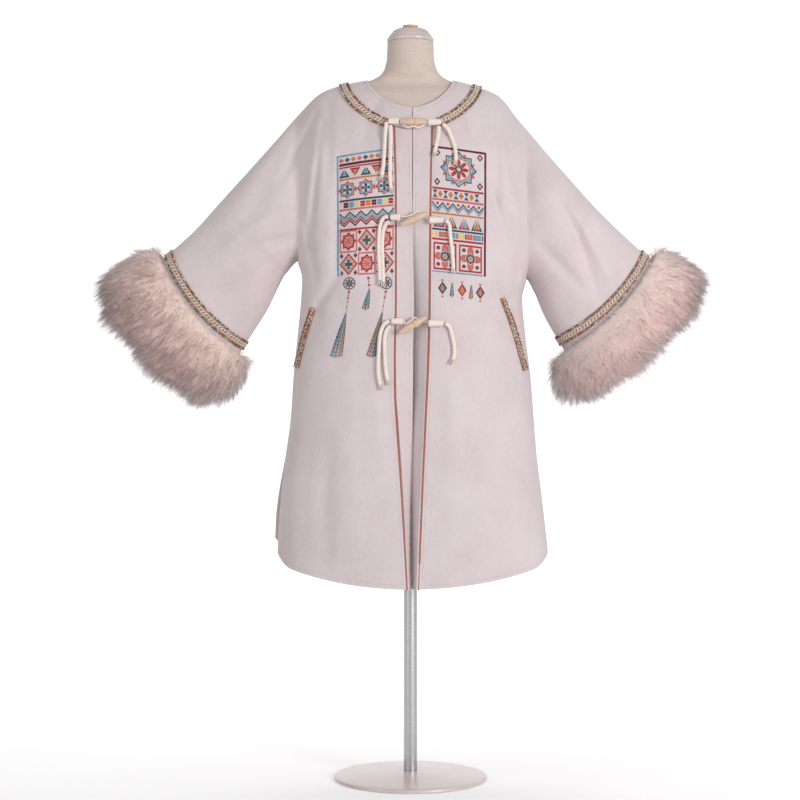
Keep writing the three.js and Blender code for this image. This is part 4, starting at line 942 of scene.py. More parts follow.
def whipping(name, side, near, far, z, over):
    """A rope end bound with yarn: a barrel that narrows outwards, with a ridge |sin| for each turn
    of the yarn and rounded ends. Gives the middle of its inner end."""
    turn, deep, edge = 1.5, 0.45, 1.8
    y = min(skin(near, z)[1], skin(far, z)[1]) - KNOT["off"] - over
    along = np.linspace(0, abs(far - near), 130)
    ridges = deep * (np.abs(np.sin(np.pi * along / turn)) - 1)
    rounded = 1.4 * (1 - smooth(np.minimum(along, along[::-1]) / edge))
    radius = KNOT["radius"] * mix(1.06, 0.8, along / along[-1]) + ridges - rounded
    rows, outwards = np.stack([radius, along], -1), (np.sign(far - near), 0, 0)
    mesh = revolved(rows, 18, (near, y, z), outwards, (0, -1, 0))
    make(f"whipping_{name}_{side}", *mesh, ROPE, "rope", sharp=0, replaces=[f"knot_{name}_{side}"])
    return np.array([near, y, z])


def fastenings():
    """Toggles, whipped rope ends, and the loop from one whipping past the toggle's groove to the
    other."""
    for name, t in TOGGLES.items():
        over = OVER_TRIM if name == "top" else 0
        x, z = t["at"]
        lean = np.radians(t["tilt"])
        centre = np.array([x, skin(x, z)[1] - TOGGLE["off"] - over, z])
        axis = np.array([np.cos(lean), 0, np.sin(lean)])
        wood = finish(f"toggle_wood_{name}", wood_look("#d3b196", "#e6ccb8", (0.25, 1, 1), lean))
        mesh = revolved(toggle_rows(t["long"]), 26, centre, axis, (0, -1, 0))
        make(f"wood_toggle_{name}", *mesh, wood, "toggle_wood", sharp=0, replaces=[f"toggle_{name}"])
        right_end, left_end = (whipping(name, side, *t[side], over) for side in ("right", "left"))

        def local(along, up, behind):
            """A point along the toggle, up from it and behind it."""
            return centre + (
                along * np.cos(lean) - up * np.sin(lean), behind, along * np.sin(lean) + up * np.cos(lean)
            )

        up = t["loop"]
        beside = TOGGLE["groove"] + LOOP_RADIUS + 1.5
        past = TOGGLE["thick"] + LOOP_RADIUS + 1.6
        route = [
            right_end + (LOOP_START, 0, up * 1.5), local(-12, up * past, 2.5), local(0, up * beside, 0),
            local(11, up * past, 3), left_end + (-LOOP_START, 0, up * 1.5),
        ]
        if t["tilt"]:
            route.insert(4, local(18, 3, 11))
        line = smooth_line(route, 140)
        twist = rope_radius(LOOP_RADIUS, 3, length_of(line) / LOOP_LAY)
        mesh = capped(rings_along(line, twist, 12))
        make(f"rope_loop_{name}", *mesh, ROPE, "rope", sharp=0, replaces=[f"loop_{name}"])


# ---------------------------------------------------------------- fronts, back and neck border
def neck_place(turn, reach, close=0.0):
    """x, z and face of a point round the neck. The turn runs from the middle front (0) over the
    right ridge and the middle back (180 degrees) to the middle front again (360); a ring is a
    superellipse, side * sin^(2/p) out and drop * cos^(2/p) down."""
    share = (reach - NECK["side"]) / (BORDER["side"] - NECK["side"])
    left = turn > np.pi
    turn = np.where(left, 2 * np.pi - turn, turn)
    sign = np.where(left, 1, -1)
    behind = turn > np.pi / 2
    power = 2 / BORDER["power"]
    wide = np.sin(turn).clip(0) ** power
    at_back, at_front = (mix(NECK[face], BORDER[face], share) for face in ("back", "front"))
    drop = np.where(behind, at_back, at_front)
    middle = (ridge_of["right"](reach) + ridge_of["left"](reach)) / 2
    own = np.where(left, ridge_of["left"](reach), ridge_of["right"](reach))
    shift = np.where(behind | (close == 0), 0, (close + 0.8 * sign) * (1 - wide))
    x = sign * reach * wide + shift
    z = mix(middle, own, wide) - drop * np.abs(np.cos(turn)) ** power
    return x, z, behind, np.abs(turn - np.pi / 2) < 1e-6


def neck_turns(start, steps):
    """Turns round the neck, closer together near the ridges, where the cloth rounds over."""
    ease = (np.arange(steps + 1) / steps) ** 1.6
    front = mix(np.pi / 2, start, ease)[::-1]
    half = np.concatenate([front, np.pi / 2 + np.pi / 2 * ease[1:]])
    return np.concatenate([half, 2 * np.pi - half[::-1][1:]])


def neck_border():
    """The border's rings lie from the neck's own edge out to the border's."""
    turn, reach = np.meshgrid(neck_turns(0, 46), np.linspace(NECK["side"], BORDER["side"], 14))
    x, z, behind, on_ridge = neck_place(turn, reach, CLOSE_X)
    grid = skin(x, z, behind, 0.0, on_ridge)
    piece = cloth_piece("wool_neck_border", grid, WOOL, "wool", ["neck_border"])


piping_x = {side: curve(rows[:, 0], rows[:, 1]) for side, rows in PLACKET.items()}
band_width = {side: curve(rows[:, 0], rows[:, 2]) for side, rows in PLACKET.items()}
band_turn = {side: curve(rows[:, 0], rows[:, 3]) for side, rows in PLACKET.items()}


def across(start_x, edge, share):
    """Places from start_x to the edge, closer together where the body rounds away."""
    start = np.arcsin((start_x / edge) ** (ROUND["body"] / 2))
    return edge * np.sin(mix(start, np.pi / 2, share)) ** (2 / ROUND["body"])


def hem_height(share, behind):
    """The hem rises to the sides as a power of the share of the half width, and once more towards
    the corner as a square."""
    corner = np.clip((share - HEM["corner"]) / (1 - HEM["corner"]), 0, None) ** 2 * HEM["corner_rise"]
    at_back = HEM["back_rise"] if behind else 0
    return HEM["middle"] + HEM["rise"] * share ** HEM["power"] + corner + at_back


def border_turn(x):
    """The turn at which the neck border's outer ring, side * sin^(2/p), is x from the middle."""
    return np.arcsin((np.abs(x) / (BORDER["side"] + HIDDEN_GAP)) ** (BORDER["power"] / 2))


def half_face(side, behind, steps):
    """One half of a face as a grid on the cloth: a chest block between the neck border, the ridge,
    the armhole and the level of the armpit, filled in from its four edges as
    (left to right) + (top to low) - (corner to corner), a skirt block below it, and the upper
    sleeve beside it."""
    s = SLEEVE[side]
    pit_z, mid_z = ARMPIT_Z[side], ARMPIT_Z["middle"]
    reach = BORDER["side"] + HIDDEN_GAP
    own = ridge_of[side]

    def edge_x(z):
        """The inner edge: the middle line behind, and beside the piping in front."""
        return np.zeros_like(z) if behind else piping_x[side](z) + PIPING["room"]

    def ring(turn):
        """A point of the ring that the neck border leaves."""
        whole = np.pi - turn if behind else turn
        x, z, _, _ = neck_place(whole if side == "right" else 2 * np.pi - whole, reach)
        return np.abs(x), z

    lowest = ring(np.array(0.0))[1] - GAP
    start = np.array(0.0) if behind else border_turn(edge_x(lowest))
    lowest_edge = ring(start)[1]
    mid_x = edge_x(np.array(float(mid_z)))

    def inner_edge(v):
        """Down the border's ring as far as the bend, and then down the inner edge."""
        bend = 0.5
        on_neck = ring(mix(np.pi / 2, start, np.minimum(1, v / bend) ** 1.4))
        z = mix(lowest_edge, mid_z, np.clip((v - bend) / (1 - bend), 0, 1))
        return np.where(v >= bend, edge_x(z), on_neck[0]), np.where(v >= bend, z, on_neck[1])

    def arm(w, q):
        """A point of the upper sleeve: w from the armhole to the seam, q from ridge to underarm."""
        top_x, low_x = mix(s["armhole"], s["seam"][0], w), mix(s["pit"], s["seam"][1], w)
        bow = BOW["seam"] * w * 4 * q * (1 - q)
        low_z = np.where(w > 0, underarm[side](low_x), pit_z)
        x = mix(top_x, low_x, q) + bow * frames[side]["cos"]
        return x, mix(own(top_x), low_z, q) - bow * frames[side]["sin"]

    def chest(u, v):
        """A point of the chest block, u outwards and v down."""
        q = (1 - np.cos(np.pi * v)) / 2
        top_x = mix(reach, s["armhole"], u)
        top = (top_x, own(top_x))
        low = (across(mid_x, s["pit"], u), mix(mid_z, pit_z, u))
        left, right = inner_edge(v), arm(0.0, q)
        corners = [inner_edge(np.array(0.0)), arm(0.0, 0.0), inner_edge(np.array(1.0)), arm(0.0, 1.0)]
        return [
            mix(left[k], right[k], u) + mix(top[k], low[k], v)
            - mix(mix(corners[0][k], corners[1][k], u), mix(corners[2][k], corners[3][k], u), v)
            for k in (0, 1)
        ]

    def skirt(u, v):
        """A point of the skirt block: straight down from the armpit's level to the hem."""
        share = across(mid_x, s["pit"], u) / s["pit"]
        z = mix(mix(mid_z, pit_z, u), hem_height(share, behind), v)
        flare = SLIT["flare"] if behind and side == "right" else 0
        wider = flare * smooth((SLIT["top"] - z) / SLIT["fade"]) * share ** 8
        return across(edge_x(z), half_width[side](z), u) + wider, z

    body, sleeve, upper, lower = steps
    r, c = np.mgrid[0:upper + lower + 1, 0:body + sleeve + 1]
    u, v, w = np.minimum(1, c / body), np.minimum(1, r / upper), np.maximum(0, (c - body) / sleeve)
    at_chest, at_skirt = chest(u, v), skirt(u, (r - upper).clip(0) / lower)
    at_arm = arm(w, (1 - np.cos(np.pi * v)) / 2)
    x, z = (
        np.where(r > upper, at_skirt[k], np.where(c > body, at_arm[k], at_chest[k])) for k in (0, 1)
    )
    grid = skin(SIDES[side] * x, z, behind)
    seam = (r == 0) | ((c > body) & (r == upper))
    grid[..., 1] = np.where(seam, SEAM if behind else -SEAM, grid[..., 1])
    keep = (c[:-1, :-1] < body) | (r[:-1, :-1] < upper)
    return grid, keep


def fronts():
    """The two fronts, body and upper sleeve in one."""
    for side, flat in (("right", (0.47, 1.08)), ("left", (0.46, 1.08))):
        grid, keep = half_face(side, False, FRONT_STEPS)
        piece = cloth_piece(f"wool_front_{side}", grid, WOOL, "wool", [f"front_{side}"], keep=keep)


def back():
    """Both halves meet at the middle of the back and are one piece of cloth."""
    parts = []
    for side in SIDES:
        grid, keep = half_face(side, True, BACK_STEPS)
        parts.append((grid.reshape(-1, 3), grid_faces(*grid.shape[:2], keep=keep)))
    right, left = parts
    faces = np.concatenate([right[1], left[1][:, ::-1] + len(right[0])])
    points = np.concatenate([right[0], left[0]])
    _, first, inverse = np.unique(np.round(points, 3), axis=0, return_index=True, return_inverse=True)
    mesh = walled(points[first], inverse.ravel()[faces], WALL)
    piece = make("wool_back", *mesh, WOOL, "wool", replaces=["back"])


# ---------------------------------------------------------------- sleeves
def sleeve_skin(side, top_x, low_x, bow, turn, lift=0.0):
    """A point round the sleeve: from the ridge (turn 0) over the front to the underarm (180
    degrees) and back behind, on a line from ridge to underarm bowed by bow * 4q(1 - q)."""
    q = (1 - np.cos(turn)) / 2
    out = bow * 4 * q * (1 - q)
    x = mix(top_x, low_x, q) + out * frames[side]["cos"]
    z = mix(ridge_of[side](top_x), underarm[side](low_x), q) - out * frames[side]["sin"]
    return skin(SIDES[side] * x, z, np.sin(turn) < -1e-6, lift, np.abs(np.sin(turn)) < 1e-6)


def lower_sleeve(side, w, turn, lift=0.0):
    """A point of the lower sleeve, w from its seam (0) to its end (1)."""
    seam, end = SLEEVE[side]["seam"], SLEEVE[side]["end"]
    start = SEAM_SHOWN * GAP / np.cos(np.radians(SLEEVE[side]["fall"]))
    return sleeve_skin(
        side, mix(seam[0] + start, end[0], w), mix(seam[1] + start, end[1], w),
        mix(BOW["seam"], BOW["end"], w), turn, lift,
    )


def trim_round_sleeve(side):
    """The place of the braid round a sleeve: a turn round it and a distance aside, along the
    sleeve. As the ridge and the underarm fall away, a step aside is a shorter one in x."""
    top_x, low_x = SLEEVE[side]["trim"]
    top_step, low_step = 0.74, 0.56

    def surface(turn, aside, lift):
        top, low = top_x + aside * top_step, low_x + aside * low_step
        return sleeve_skin(side, top, low, BOW["end"], turn, lift)

    return surface


def sleeves():
    """The two lower sleeves, each a closed ring of cloth."""
    turns = np.linspace(0, 2 * np.pi, 132, endpoint=False)
    for side, flat in (("right", (0.74, 0.17)), ("left", (0.72, 0.15))):
        w, turn = np.meshgrid(np.linspace(0, 1, 34), turns, indexing="ij")
        grid = lower_sleeve(side, w, turn)
        piece = cloth_piece(f"wool_sleeve_{side}", grid, WOOL, "wool", [f"sleeve_{side}"], closed=True)


# ---------------------------------------------------------------- braid, piping and stitching
BRAID_TINTS = ["#4a342c", "#c24f2e", "#eadccb", "#3a7c7e", "#dd6b45", "#6a4c40", "#cf8f4a"]
BRAID_SHARES = [0.2, 0.2, 0.28, 0.08, 0.12, 0.08, 0.04]
PALE_TINTS = ["#f3e9dc", "#e6d8c8", "#f7efe5"]


def braid(name, surface, size, span, steps, replaces, seed, closed=False):
    """A braid over a span of the surface: a dark woven ground with a crown of 0.5 (1 - v^2) across
    it, a pale ladder of rails and rungs along its middle, and slanting knots of coloured thread
    along both edges."""
    draw = np.random.default_rng(seed)
    lift, thick, half, crown = size["lift"], size["thick"], size["width"] / 2, 0.5
    along = np.linspace(*span, steps[0], endpoint=not closed)
    u, v = np.meshgrid(along, np.linspace(-half, half, steps[1]), indexing="ij")
    grid = surface(u, v, lift + thick - crown * (v / half) ** 2)
    if closed:
        grid = np.swapaxes(grid, 0, 1)
    cloth_piece(f"{name}_ground", grid, BRAID, "braid", replaces, thick - 0.2, closed=closed)

    middle = surface(along, np.zeros_like(along), lift)
    if closed:
        middle = np.concatenate([middle, middle[:1]])
        along = np.concatenate([along, span[1:]])
    far = distance_along(middle)

    def row(pitch, aside, heading, thread, tints, shares=None):
        """Threads at an even pitch along the braid, aside from its middle, with their tints in
        turn or drawn by their shares."""
        count = int(far[-1] / pitch)
        place = np.interp((np.arange(count) + 0.5) * far[-1] / count, far, along)
        centre, axes = laid(surface, place, np.full(count, aside), 0.0, lift + thick)
        turn = np.cos(heading), np.sin(heading)
        ahead = axes[..., 0] * turn[0] + axes[..., 1] * turn[1]
        beside = axes[..., 1] * turn[0] - axes[..., 0] * turn[1]
        axes = np.stack([ahead, beside, axes[..., 2]], -1)
        pick = np.arange(count) % len(tints)
        if shares:
            pick = draw.choice(len(tints), count, p=shares)
        colours = np.array([shade(code) for code in tints])[pick]
        body = grain([(-1, 0), (-0.5, 1), (0.5, 1), (1, 0)])
        points, blocks = scattered(body, centre, axes, np.tile(thread, (count, 1)))
        return (points, blocks), np.repeat(colours, len(body[0]), 0)

    outer, rail = half - 1.4, half * 0.36
    rows = [
        row(3.6, way * outer, way * 0.8, (2.2, 1.2, 1.1), BRAID_TINTS, BRAID_SHARES)
        for way in (1, -1)
    ]
    if half > 8:
        rows += [row(4.2, way * rail, way * 0.15, (2.3, 1.0, 1.0), PALE_TINTS) for way in (1, -1)]
    rows.append(row(7.6, 0.0, 1.0, (rail * 1.25, 1.5, 0.9), PALE_TINTS))
    rows += [
        row(5.2, way * (outer - 2.5), way * -0.5, (1.7, 0.8, 1.0), BRAID_TINTS, BRAID_SHARES)
        for way in (1, -1)
    ]
    mesh = joined(*[part for part, _ in rows])
    tint = np.concatenate([colours for _, colours in rows])
    make(f"{name}_threads", *mesh, BRAID_THREAD, "braid", tint=tint, sharp=0)


def trims():
    """The braid round the neck, round each sleeve and along each pocket mouth."""
    end_x = 47
    start = np.arcsin((end_x / BORDER["side"]) ** (BORDER["power"] / 2))

    def neck_surface(turn, aside, lift):
        x, z, behind, on_ridge = neck_place(turn, BORDER["side"] + aside)
        return skin(x, z, behind, lift, on_ridge)

    braid("neck_braid", neck_surface, TRIM, (start, 2 * np.pi - start), (241, 9), ["neck_trim"], seed=2)
    for number, side in enumerate(SIDES):
        braid(
            f"sleeve_braid_{side}", trim_round_sleeve(side), TRIM, (0, 2 * np.pi), (240, 9),
            [f"sleeve_trim_{side}"], seed=3 + number, closed=True,
        )
    for side, route in POCKETS.items():
        line = smooth_line(route, 80)
        go = unit(np.gradient(line, axis=0))
        share = np.linspace(0, 1, 80)

        def pocket_surface(u, v, lift):
            x, z, go_x, go_z = (np.interp(u, share, k) for k in (*line.T, *go.T))
            return skin(x - v * go_z, z + v * go_x, False, lift)

        braid(
            f"pocket_braid_{side}", pocket_surface, POCKET_TRIM, (0, 1), (60, 7),
            [f"pocket_trim_{side}"], seed=6,
        )


def band_surface(side):
    """The front band: from the piping towards the middle, turned inwards by its own angle, so that
    its far edge is width * cos inwards and width * sin back."""
    sign = SIDES[side]

    def surface(z, share, lift=0.0):
        turn = np.radians(band_turn[side](z))
        root = skin(sign * (piping_x[side](z) - PIPING["room"]), z)
        far = share * band_width[side](z)
        inwards = far * np.cos(turn) + WALL * np.sin(turn) - lift * np.sin(turn)
        back_by = far * np.sin(turn) - lift * np.cos(turn)
        zero = np.zeros_like(inwards)
        return root + np.stack([-sign * inwards, back_by, zero], -1)

    return surface


def border_edge(x, side):
    """Height of the neck border's lower edge at x, less the gap."""
    turn = border_turn(x)
    turn = turn if side == "right" else 2 * np.pi - turn
    return neck_place(turn, BORDER["side"] + HIDDEN_GAP)[1] - GAP


def front_edges():
    """The front bands, and the twisted piping sewn in along each one's root."""
    near_top = 1350
    for side, sign in SIDES.items():
        surface = band_surface(side)
        share = np.linspace(0, 1, 12)
        piping_top = piping_x[side](near_top)
        top = border_edge(piping_top - PIPING["room"] - share * band_width[side](near_top), side)
        down = np.linspace(0, 1, 150)[:, None]
        z = mix(top[None], HEM["middle"], down)
        grid = surface(z, np.broadcast_to(share, z.shape))
        piece = cloth_piece(f"wool_band_{side}", grid, WOOL, "wool", [f"placket_{side}"])

        z = np.linspace(float(border_edge(piping_top, side)) - 1, HEM["middle"], 760)
        line = skin(sign * piping_x[side](z), z) + (0, PIPING["sink"], 0)
        twist = rope_radius(PIPING["radius"] * 1.04, 2, length_of(line) / PIPING["lay"])
        mesh = capped(rings_along(line, twist, 8))
        make(f"piping_cord_{side}", *mesh, PIPING_CORD, "piping", sharp=0, replaces=[f"piping_{side}"])


def stitch_rows():
    """Topstitching: short threads that dip into the cloth at both ends, along the hems, the bands,
    the neckline and the sleeve seams."""
    body = grain([(-1, 0), (-0.6, 0.95), (0.6, 0.95), (1, 0)])
    pitch, half, thick, lift = 4.2, 1.55, 0.42, 0.15
    top, foot = 1340, 430
    parts = []

    def run(point_at, low, high):
        """Stitches at an even pitch along point_at(share, lift), from the low share to the high."""
        share = np.linspace(low, high, 600)
        line = point_at(share, 0.0)
        far = distance_along(line)
        count = int(far[-1] / pitch)
        place = np.interp((np.arange(count) + 0.5) * pitch, far, share)
        step = (high - low) * 1e-3
        centre = point_at(place, 0.0)
        out = unit(point_at(place, 1.0) - centre)
        ahead = unit(point_at(place + step, 0.0) - centre)
        axes = np.stack([ahead, np.cross(out, ahead), out], -1)
        size = np.tile((half, thick, thick), (count, 1))
        parts.append(scattered(body, centre + out * lift, axes, size))

    for side, sign in SIDES.items():
        surface, seam = band_surface(side), SLEEVE[side]["seam"]
        for behind in (False, True):
            def hem_line(share, out):
                z = hem_height(share, behind) + 10
                return skin(sign * share * half_width[side](z) * 0.995, z, behind, out)

            run(hem_line, 0.0 if behind else 0.12, 0.985)

        def band_line(share, out):
            return surface(mix(top, foot, share), np.full_like(share, 0.82), out)

        def front_line(share, out):
            z = mix(top, foot, share)
            return skin(sign * (piping_x[side](z) + 7), z, False, out)

        def sleeve_line(turn, out):
            return sleeve_skin(side, seam[0] - 5, seam[1] - 4, BOW["seam"], turn, out)

        run(band_line, 0, 1)
        run(front_line, 0, 1)
        run(sleeve_line, 0.05, 2 * np.pi - 0.05)
    for reach in (NECK["side"] + 7, NECK["side"] + 10):
        def neck_line(turn, out):
            x, z, behind, on_ridge = neck_place(turn, reach, CLOSE_X)
            return skin(x, z, behind, out, on_ridge)

        run(neck_line, 0.06, 2 * np.pi - 0.06)
    make("topstitching", *joined(*parts), STITCHING, "wool", sharp=0)


# ---------------------------------------------------------------- embroidery
SILKS = {
    "teal": "#14586b", "sky": "#7db0c8", "crimson": "#c62b32", "wine": "#7c1420",
    "coral": "#e2766c", "gold": "#de8a2c", "straw": "#f4dd9f", "taupe": "#7c6759",
}
# Share of the way out from a motif's middle, 1 on its outline, from places in units of its size.
MOTIFS = {
    "square": lambda a, b: np.maximum(np.abs(a), np.abs(b)),
    "lozenge": lambda a, b: np.abs(a) + np.abs(b),
    "disc": np.hypot,
    "star": lambda a, b: np.minimum(
        np.maximum(np.abs(a), np.abs(b)) / 0.72, (np.abs(a) + np.abs(b)) / 1.02
    ),
    "cross": lambda a, b: np.maximum(
        np.minimum(np.abs(a), np.abs(b)) / 0.34, np.maximum(np.abs(a), np.abs(b))
    ),
    "leaves": lambda a, b: np.hypot(a, b) / np.maximum(np.abs(np.cos(2 * np.arctan2(b, a))), 0.03) ** 0.7,
    "petals": lambda a, b: np.hypot(a, b) / np.maximum(np.abs(np.cos(4 * np.arctan2(b, a))), 0.03) ** 0.5,
    "hourglass": lambda a, b: np.maximum(np.abs(b), np.abs(a) / np.maximum(np.abs(b), 0.12)),
    "peak": lambda a, b: np.maximum(-b, 2 * np.abs(a) / np.maximum(1 - b, 1e-3)),
    "valley": lambda a, b: np.maximum(b, 2 * np.abs(a) / np.maximum(1 + b, 1e-3)),
}


def satin(inside, box, angle, silk, pitch=1.05, longest=6.5):
    """Parallel stitches over the place where inside(x, z) holds: lines at an angle, a pitch apart,
    cut where they leave it, and long runs shared out. Rows of x, z, half length, half width,
    angle and colour."""
    x0, z0, x1, z1 = box
    cos, sin = np.cos(angle), np.sin(angle)
    reach, fine = np.hypot(x1 - x0, z1 - z0) / 2 + pitch, 0.25
    lines, places_on = np.arange(-reach, reach, pitch), np.arange(-reach, reach, fine)
    aside, ahead = np.meshgrid(lines, places_on, indexing="ij")
    x = (x0 + x1) / 2 + ahead * cos - aside * sin
    z = (z0 + z1) / 2 + ahead * sin + aside * cos
    held = inside(x, z) & (x > x0) & (x < x1) & (z > z0) & (z < z1)
    change = np.diff(np.pad(held, ((0, 0), (1, 1))).astype(int), axis=1)
    row, start = np.nonzero(change > 0)
    _, stop = np.nonzero(change < 0)
    long = (stop - start) * fine
    row, start, long = row[long > 0.7], start[long > 0.7], long[long > 0.7]
    parts = np.ceil(long / longest).astype(int)
    owner = np.repeat(np.arange(len(row)), parts)
    order = np.arange(len(owner)) - np.repeat(np.cumsum(parts) - parts, parts)
    middle = (order + 0.5) / parts[owner] * long[owner] - reach + start[owner] * fine
    beside = -reach + row[owner] * pitch
    return np.stack([
        (x0 + x1) / 2 + middle * cos - beside * sin, (z0 + z1) / 2 + middle * sin + beside * cos,
        long[owner] / parts[owner] / 2, np.full(len(owner), pitch * 0.62), np.full(len(owner), angle),
        np.full(len(owner), list(SILKS).index(silk)),
    ], -1)


def motif(kind, x, z, wide, high, silk, low=0.0, top=1.0, angle=0.0):
    """A motif, or the ring of it between two shares of the way out, in satin stitch."""
    def inside(px, pz):
        share = MOTIFS[kind]((px - x) / wide, (pz - z) / high)
        return (share >= low) & (share < top)
    right, up = wide * top * 1.08, high * top * 1.08
    return satin(inside, (x - right, z - up, x + right, z + up), angle, silk)


def bar(x0, z0, x1, z1, silk, angle=np.pi / 2):
    """A plain bar from corner to corner."""
    return satin(lambda x, z: np.ones(x.shape, bool), (x0, z0, x1, z1), angle, silk)


def zigzag(x0, x1, z, high, period, half, silk):
    """A zigzag line: stitches stand upright on a triangle wave."""
    def inside(px, pz):
        wave_at = np.abs((px - x0) / period % 1 * 2 - 1) * 2 - 1
        return np.abs(pz - z - high * wave_at) < half
    return satin(inside, (x0, z - high - half, x1, z + high + half), np.pi / 2, silk)


def strand(route, silk, half=0.55, longest=6.0):
    """A line of stitches end to end along a route."""
    count = max(2, int(np.ceil(length_of(np.array(route, float)) / longest)) + 1)
    line = smooth_line(route, count)
    middle, step = (line[1:] + line[:-1]) / 2, np.diff(line, axis=0)
    long = np.hypot(*step.T)
    return np.stack([
        *middle.T, long / 2 * 1.05, np.full(len(long), half), np.arctan2(step[:, 1], step[:, 0]),
        np.full(len(long), list(SILKS).index(silk)),
    ], -1)


def bead(x, z, radius, silk):
    """A bead as one short stout stitch."""
    return np.array([[x, z, radius, radius * 0.9, 0.0, list(SILKS).index(silk)]])


def tassel(x, z, low_x, low_z, wide, silks):
    """A tassel: strands that fan out from its binding."""
    parts = [strand([(x - 1.6, z), (x + 1.6, z)], "gold", 1.0)]
    for number, silk in enumerate(silks):
        share = number / (len(silks) - 1) - 0.5
        end = (low_x + wide * share, low_z - 4 * (0.25 - share ** 2) * 3)
        middle = (mix(x, end[0], 0.5) + 0.1 * (end[0] - low_x), mix(z, end[1], 0.5))
        parts.append(strand([(x + share, z - 1), middle, end], silk, 1.15, 8))
    return np.concatenate(parts)


def pendant(x, z, low_x, low_z, fan, silks):
    """A medallion, a chain of beads down to a tassel."""
    parts = [
        motif("disc", x, z, 12.8, 12.8, "taupe", 0.8, 1.0, 0.5),
        motif("petals", x, z, 9.6, 9.6, "teal", 0.25, 1.0),
        motif("disc", x, z, 2.6, 2.6, "coral"),
        strand([(x, z - 13), (low_x, low_z)], "taupe", 0.45, 4),
    ]
    beads = (
        (0.1, 2.6, "crimson"), (0.22, 1.6, "gold"), (0.34, 2.2, "crimson"), (0.52, 1.6, "sky"),
        (0.72, 1.9, "gold"),
    )
    for share, size, silk in beads:
        parts.append(bead(mix(x, low_x, share), mix(z - 13, low_z, share), size, silk))
    parts.append(tassel(low_x, low_z, fan[0], fan[1], fan[2], silks))
    return np.concatenate(parts)


def right_panel(wide, high):
    """Rows of traditional geometric motifs, x out from the band and z up from the panel's foot."""
    frame_wide, inner = 4, wide - 5
    parts = [
        bar(wide - frame_wide, 0, wide, high, "sky", 0),
        bar(0, high - frame_wide, wide, high, "sky"),
    ]
    for low, top, silk in (
        (24, 18, "wine"), (29, 25.6, "crimson"), (54.5, 50.5, "gold"), (99, 94.6, "teal"),
        (117.6, 113.6, "coral"), (158.6, 154.6, "crimson"),
    ):
        parts.append(bar(0, high - low, inner, high - top, silk))
    for number in range(9):
        silk = ("gold", "teal", "coral")[number % 3]
        parts.append(motif("lozenge", 7 + number * 12.4, high - 11.4, 5.8, 5.4, silk))
    for number in range(5):
        x, z = 12 + number * 22, high - 39.5
        kind, silk, other = (("peak", "teal", "sky"), ("valley", "crimson", "gold"))[number % 2]
        parts += [
            motif(kind, x, z, 11, 9, silk, 0.52, 1.0, 0.9),
            motif(kind, x, z, 11, 9, other, 0.0, 0.44, np.pi / 2),
        ]
    for number in range(3):
        x, z = 19 + number * 37.5, high - 74.5
        parts += [
            motif("star", x, z, 18, 18, "crimson", 0.82, 1.0, 0.78),
            motif("star", x, z, 18, 18, "sky", 0.58, 0.76, 0.78),
            motif("leaves", x, z, 9.6, 9.6, "teal"),
            motif("disc", x, z, 2.6, 2.6, "gold"),
        ]
    for number in range(4):
        parts.append(motif("lozenge", number * 37.5 + 1.5, high - 74.5, 3, 7, "coral"))
    for number, x in enumerate(np.arange(1, inner - 10, 11.4)):
        silk = ("crimson", "straw", "sky", "wine", "gold")[number % 5]
        parts.append(bar(x, high - 112, x + 9.8, high - 100.6, silk))
    for number, silk in enumerate(("teal", "sky", "crimson", "wine")):
        parts.append(zigzag(0, inner, high - 127 - number * 5.6, 5.5, 22.4, 2.1, silk))
    cell = inner / 3
    for row in range(2):
        for column in range(3):
            x, z = cell * (column + 0.5), 47 * (row + 0.5) + 0.5
            if (row + column) % 2:
                parts += [
                    motif("square", x, z, cell / 2 - 0.8, 22.8, "coral", 0.86, 1.0, np.pi / 4),
                    motif("star", x, z, cell / 2 - 2.6, 19, "crimson", 0.66, 1.0, np.pi / 4),
                    motif("petals", x, z, 10.4, 11.4, "coral", 0.22, 1.0, np.pi / 4),
                    motif("disc", x, z, 2.4, 2.4, "gold"),
                ]
                continue
            parts += [
                motif("lozenge", x, z, cell / 2, 23, "crimson", 0.78, 1.0, np.pi / 2),
                motif("lozenge", x, z, cell / 2, 23, "gold", 0.56, 0.7, np.pi / 2),
                motif("cross", x, z, 7.8, 9.6, "teal", 0, 1.0, np.pi / 4),
            ]
            for side in (-1, 1):
                for up in (-1, 1):
                    spot = (x + side * (cell / 2 - 4.4), z + up * 17.6)
                    parts.append(motif("lozenge", *spot, 4.2, 5.4, "wine"))
    return np.concatenate(parts)


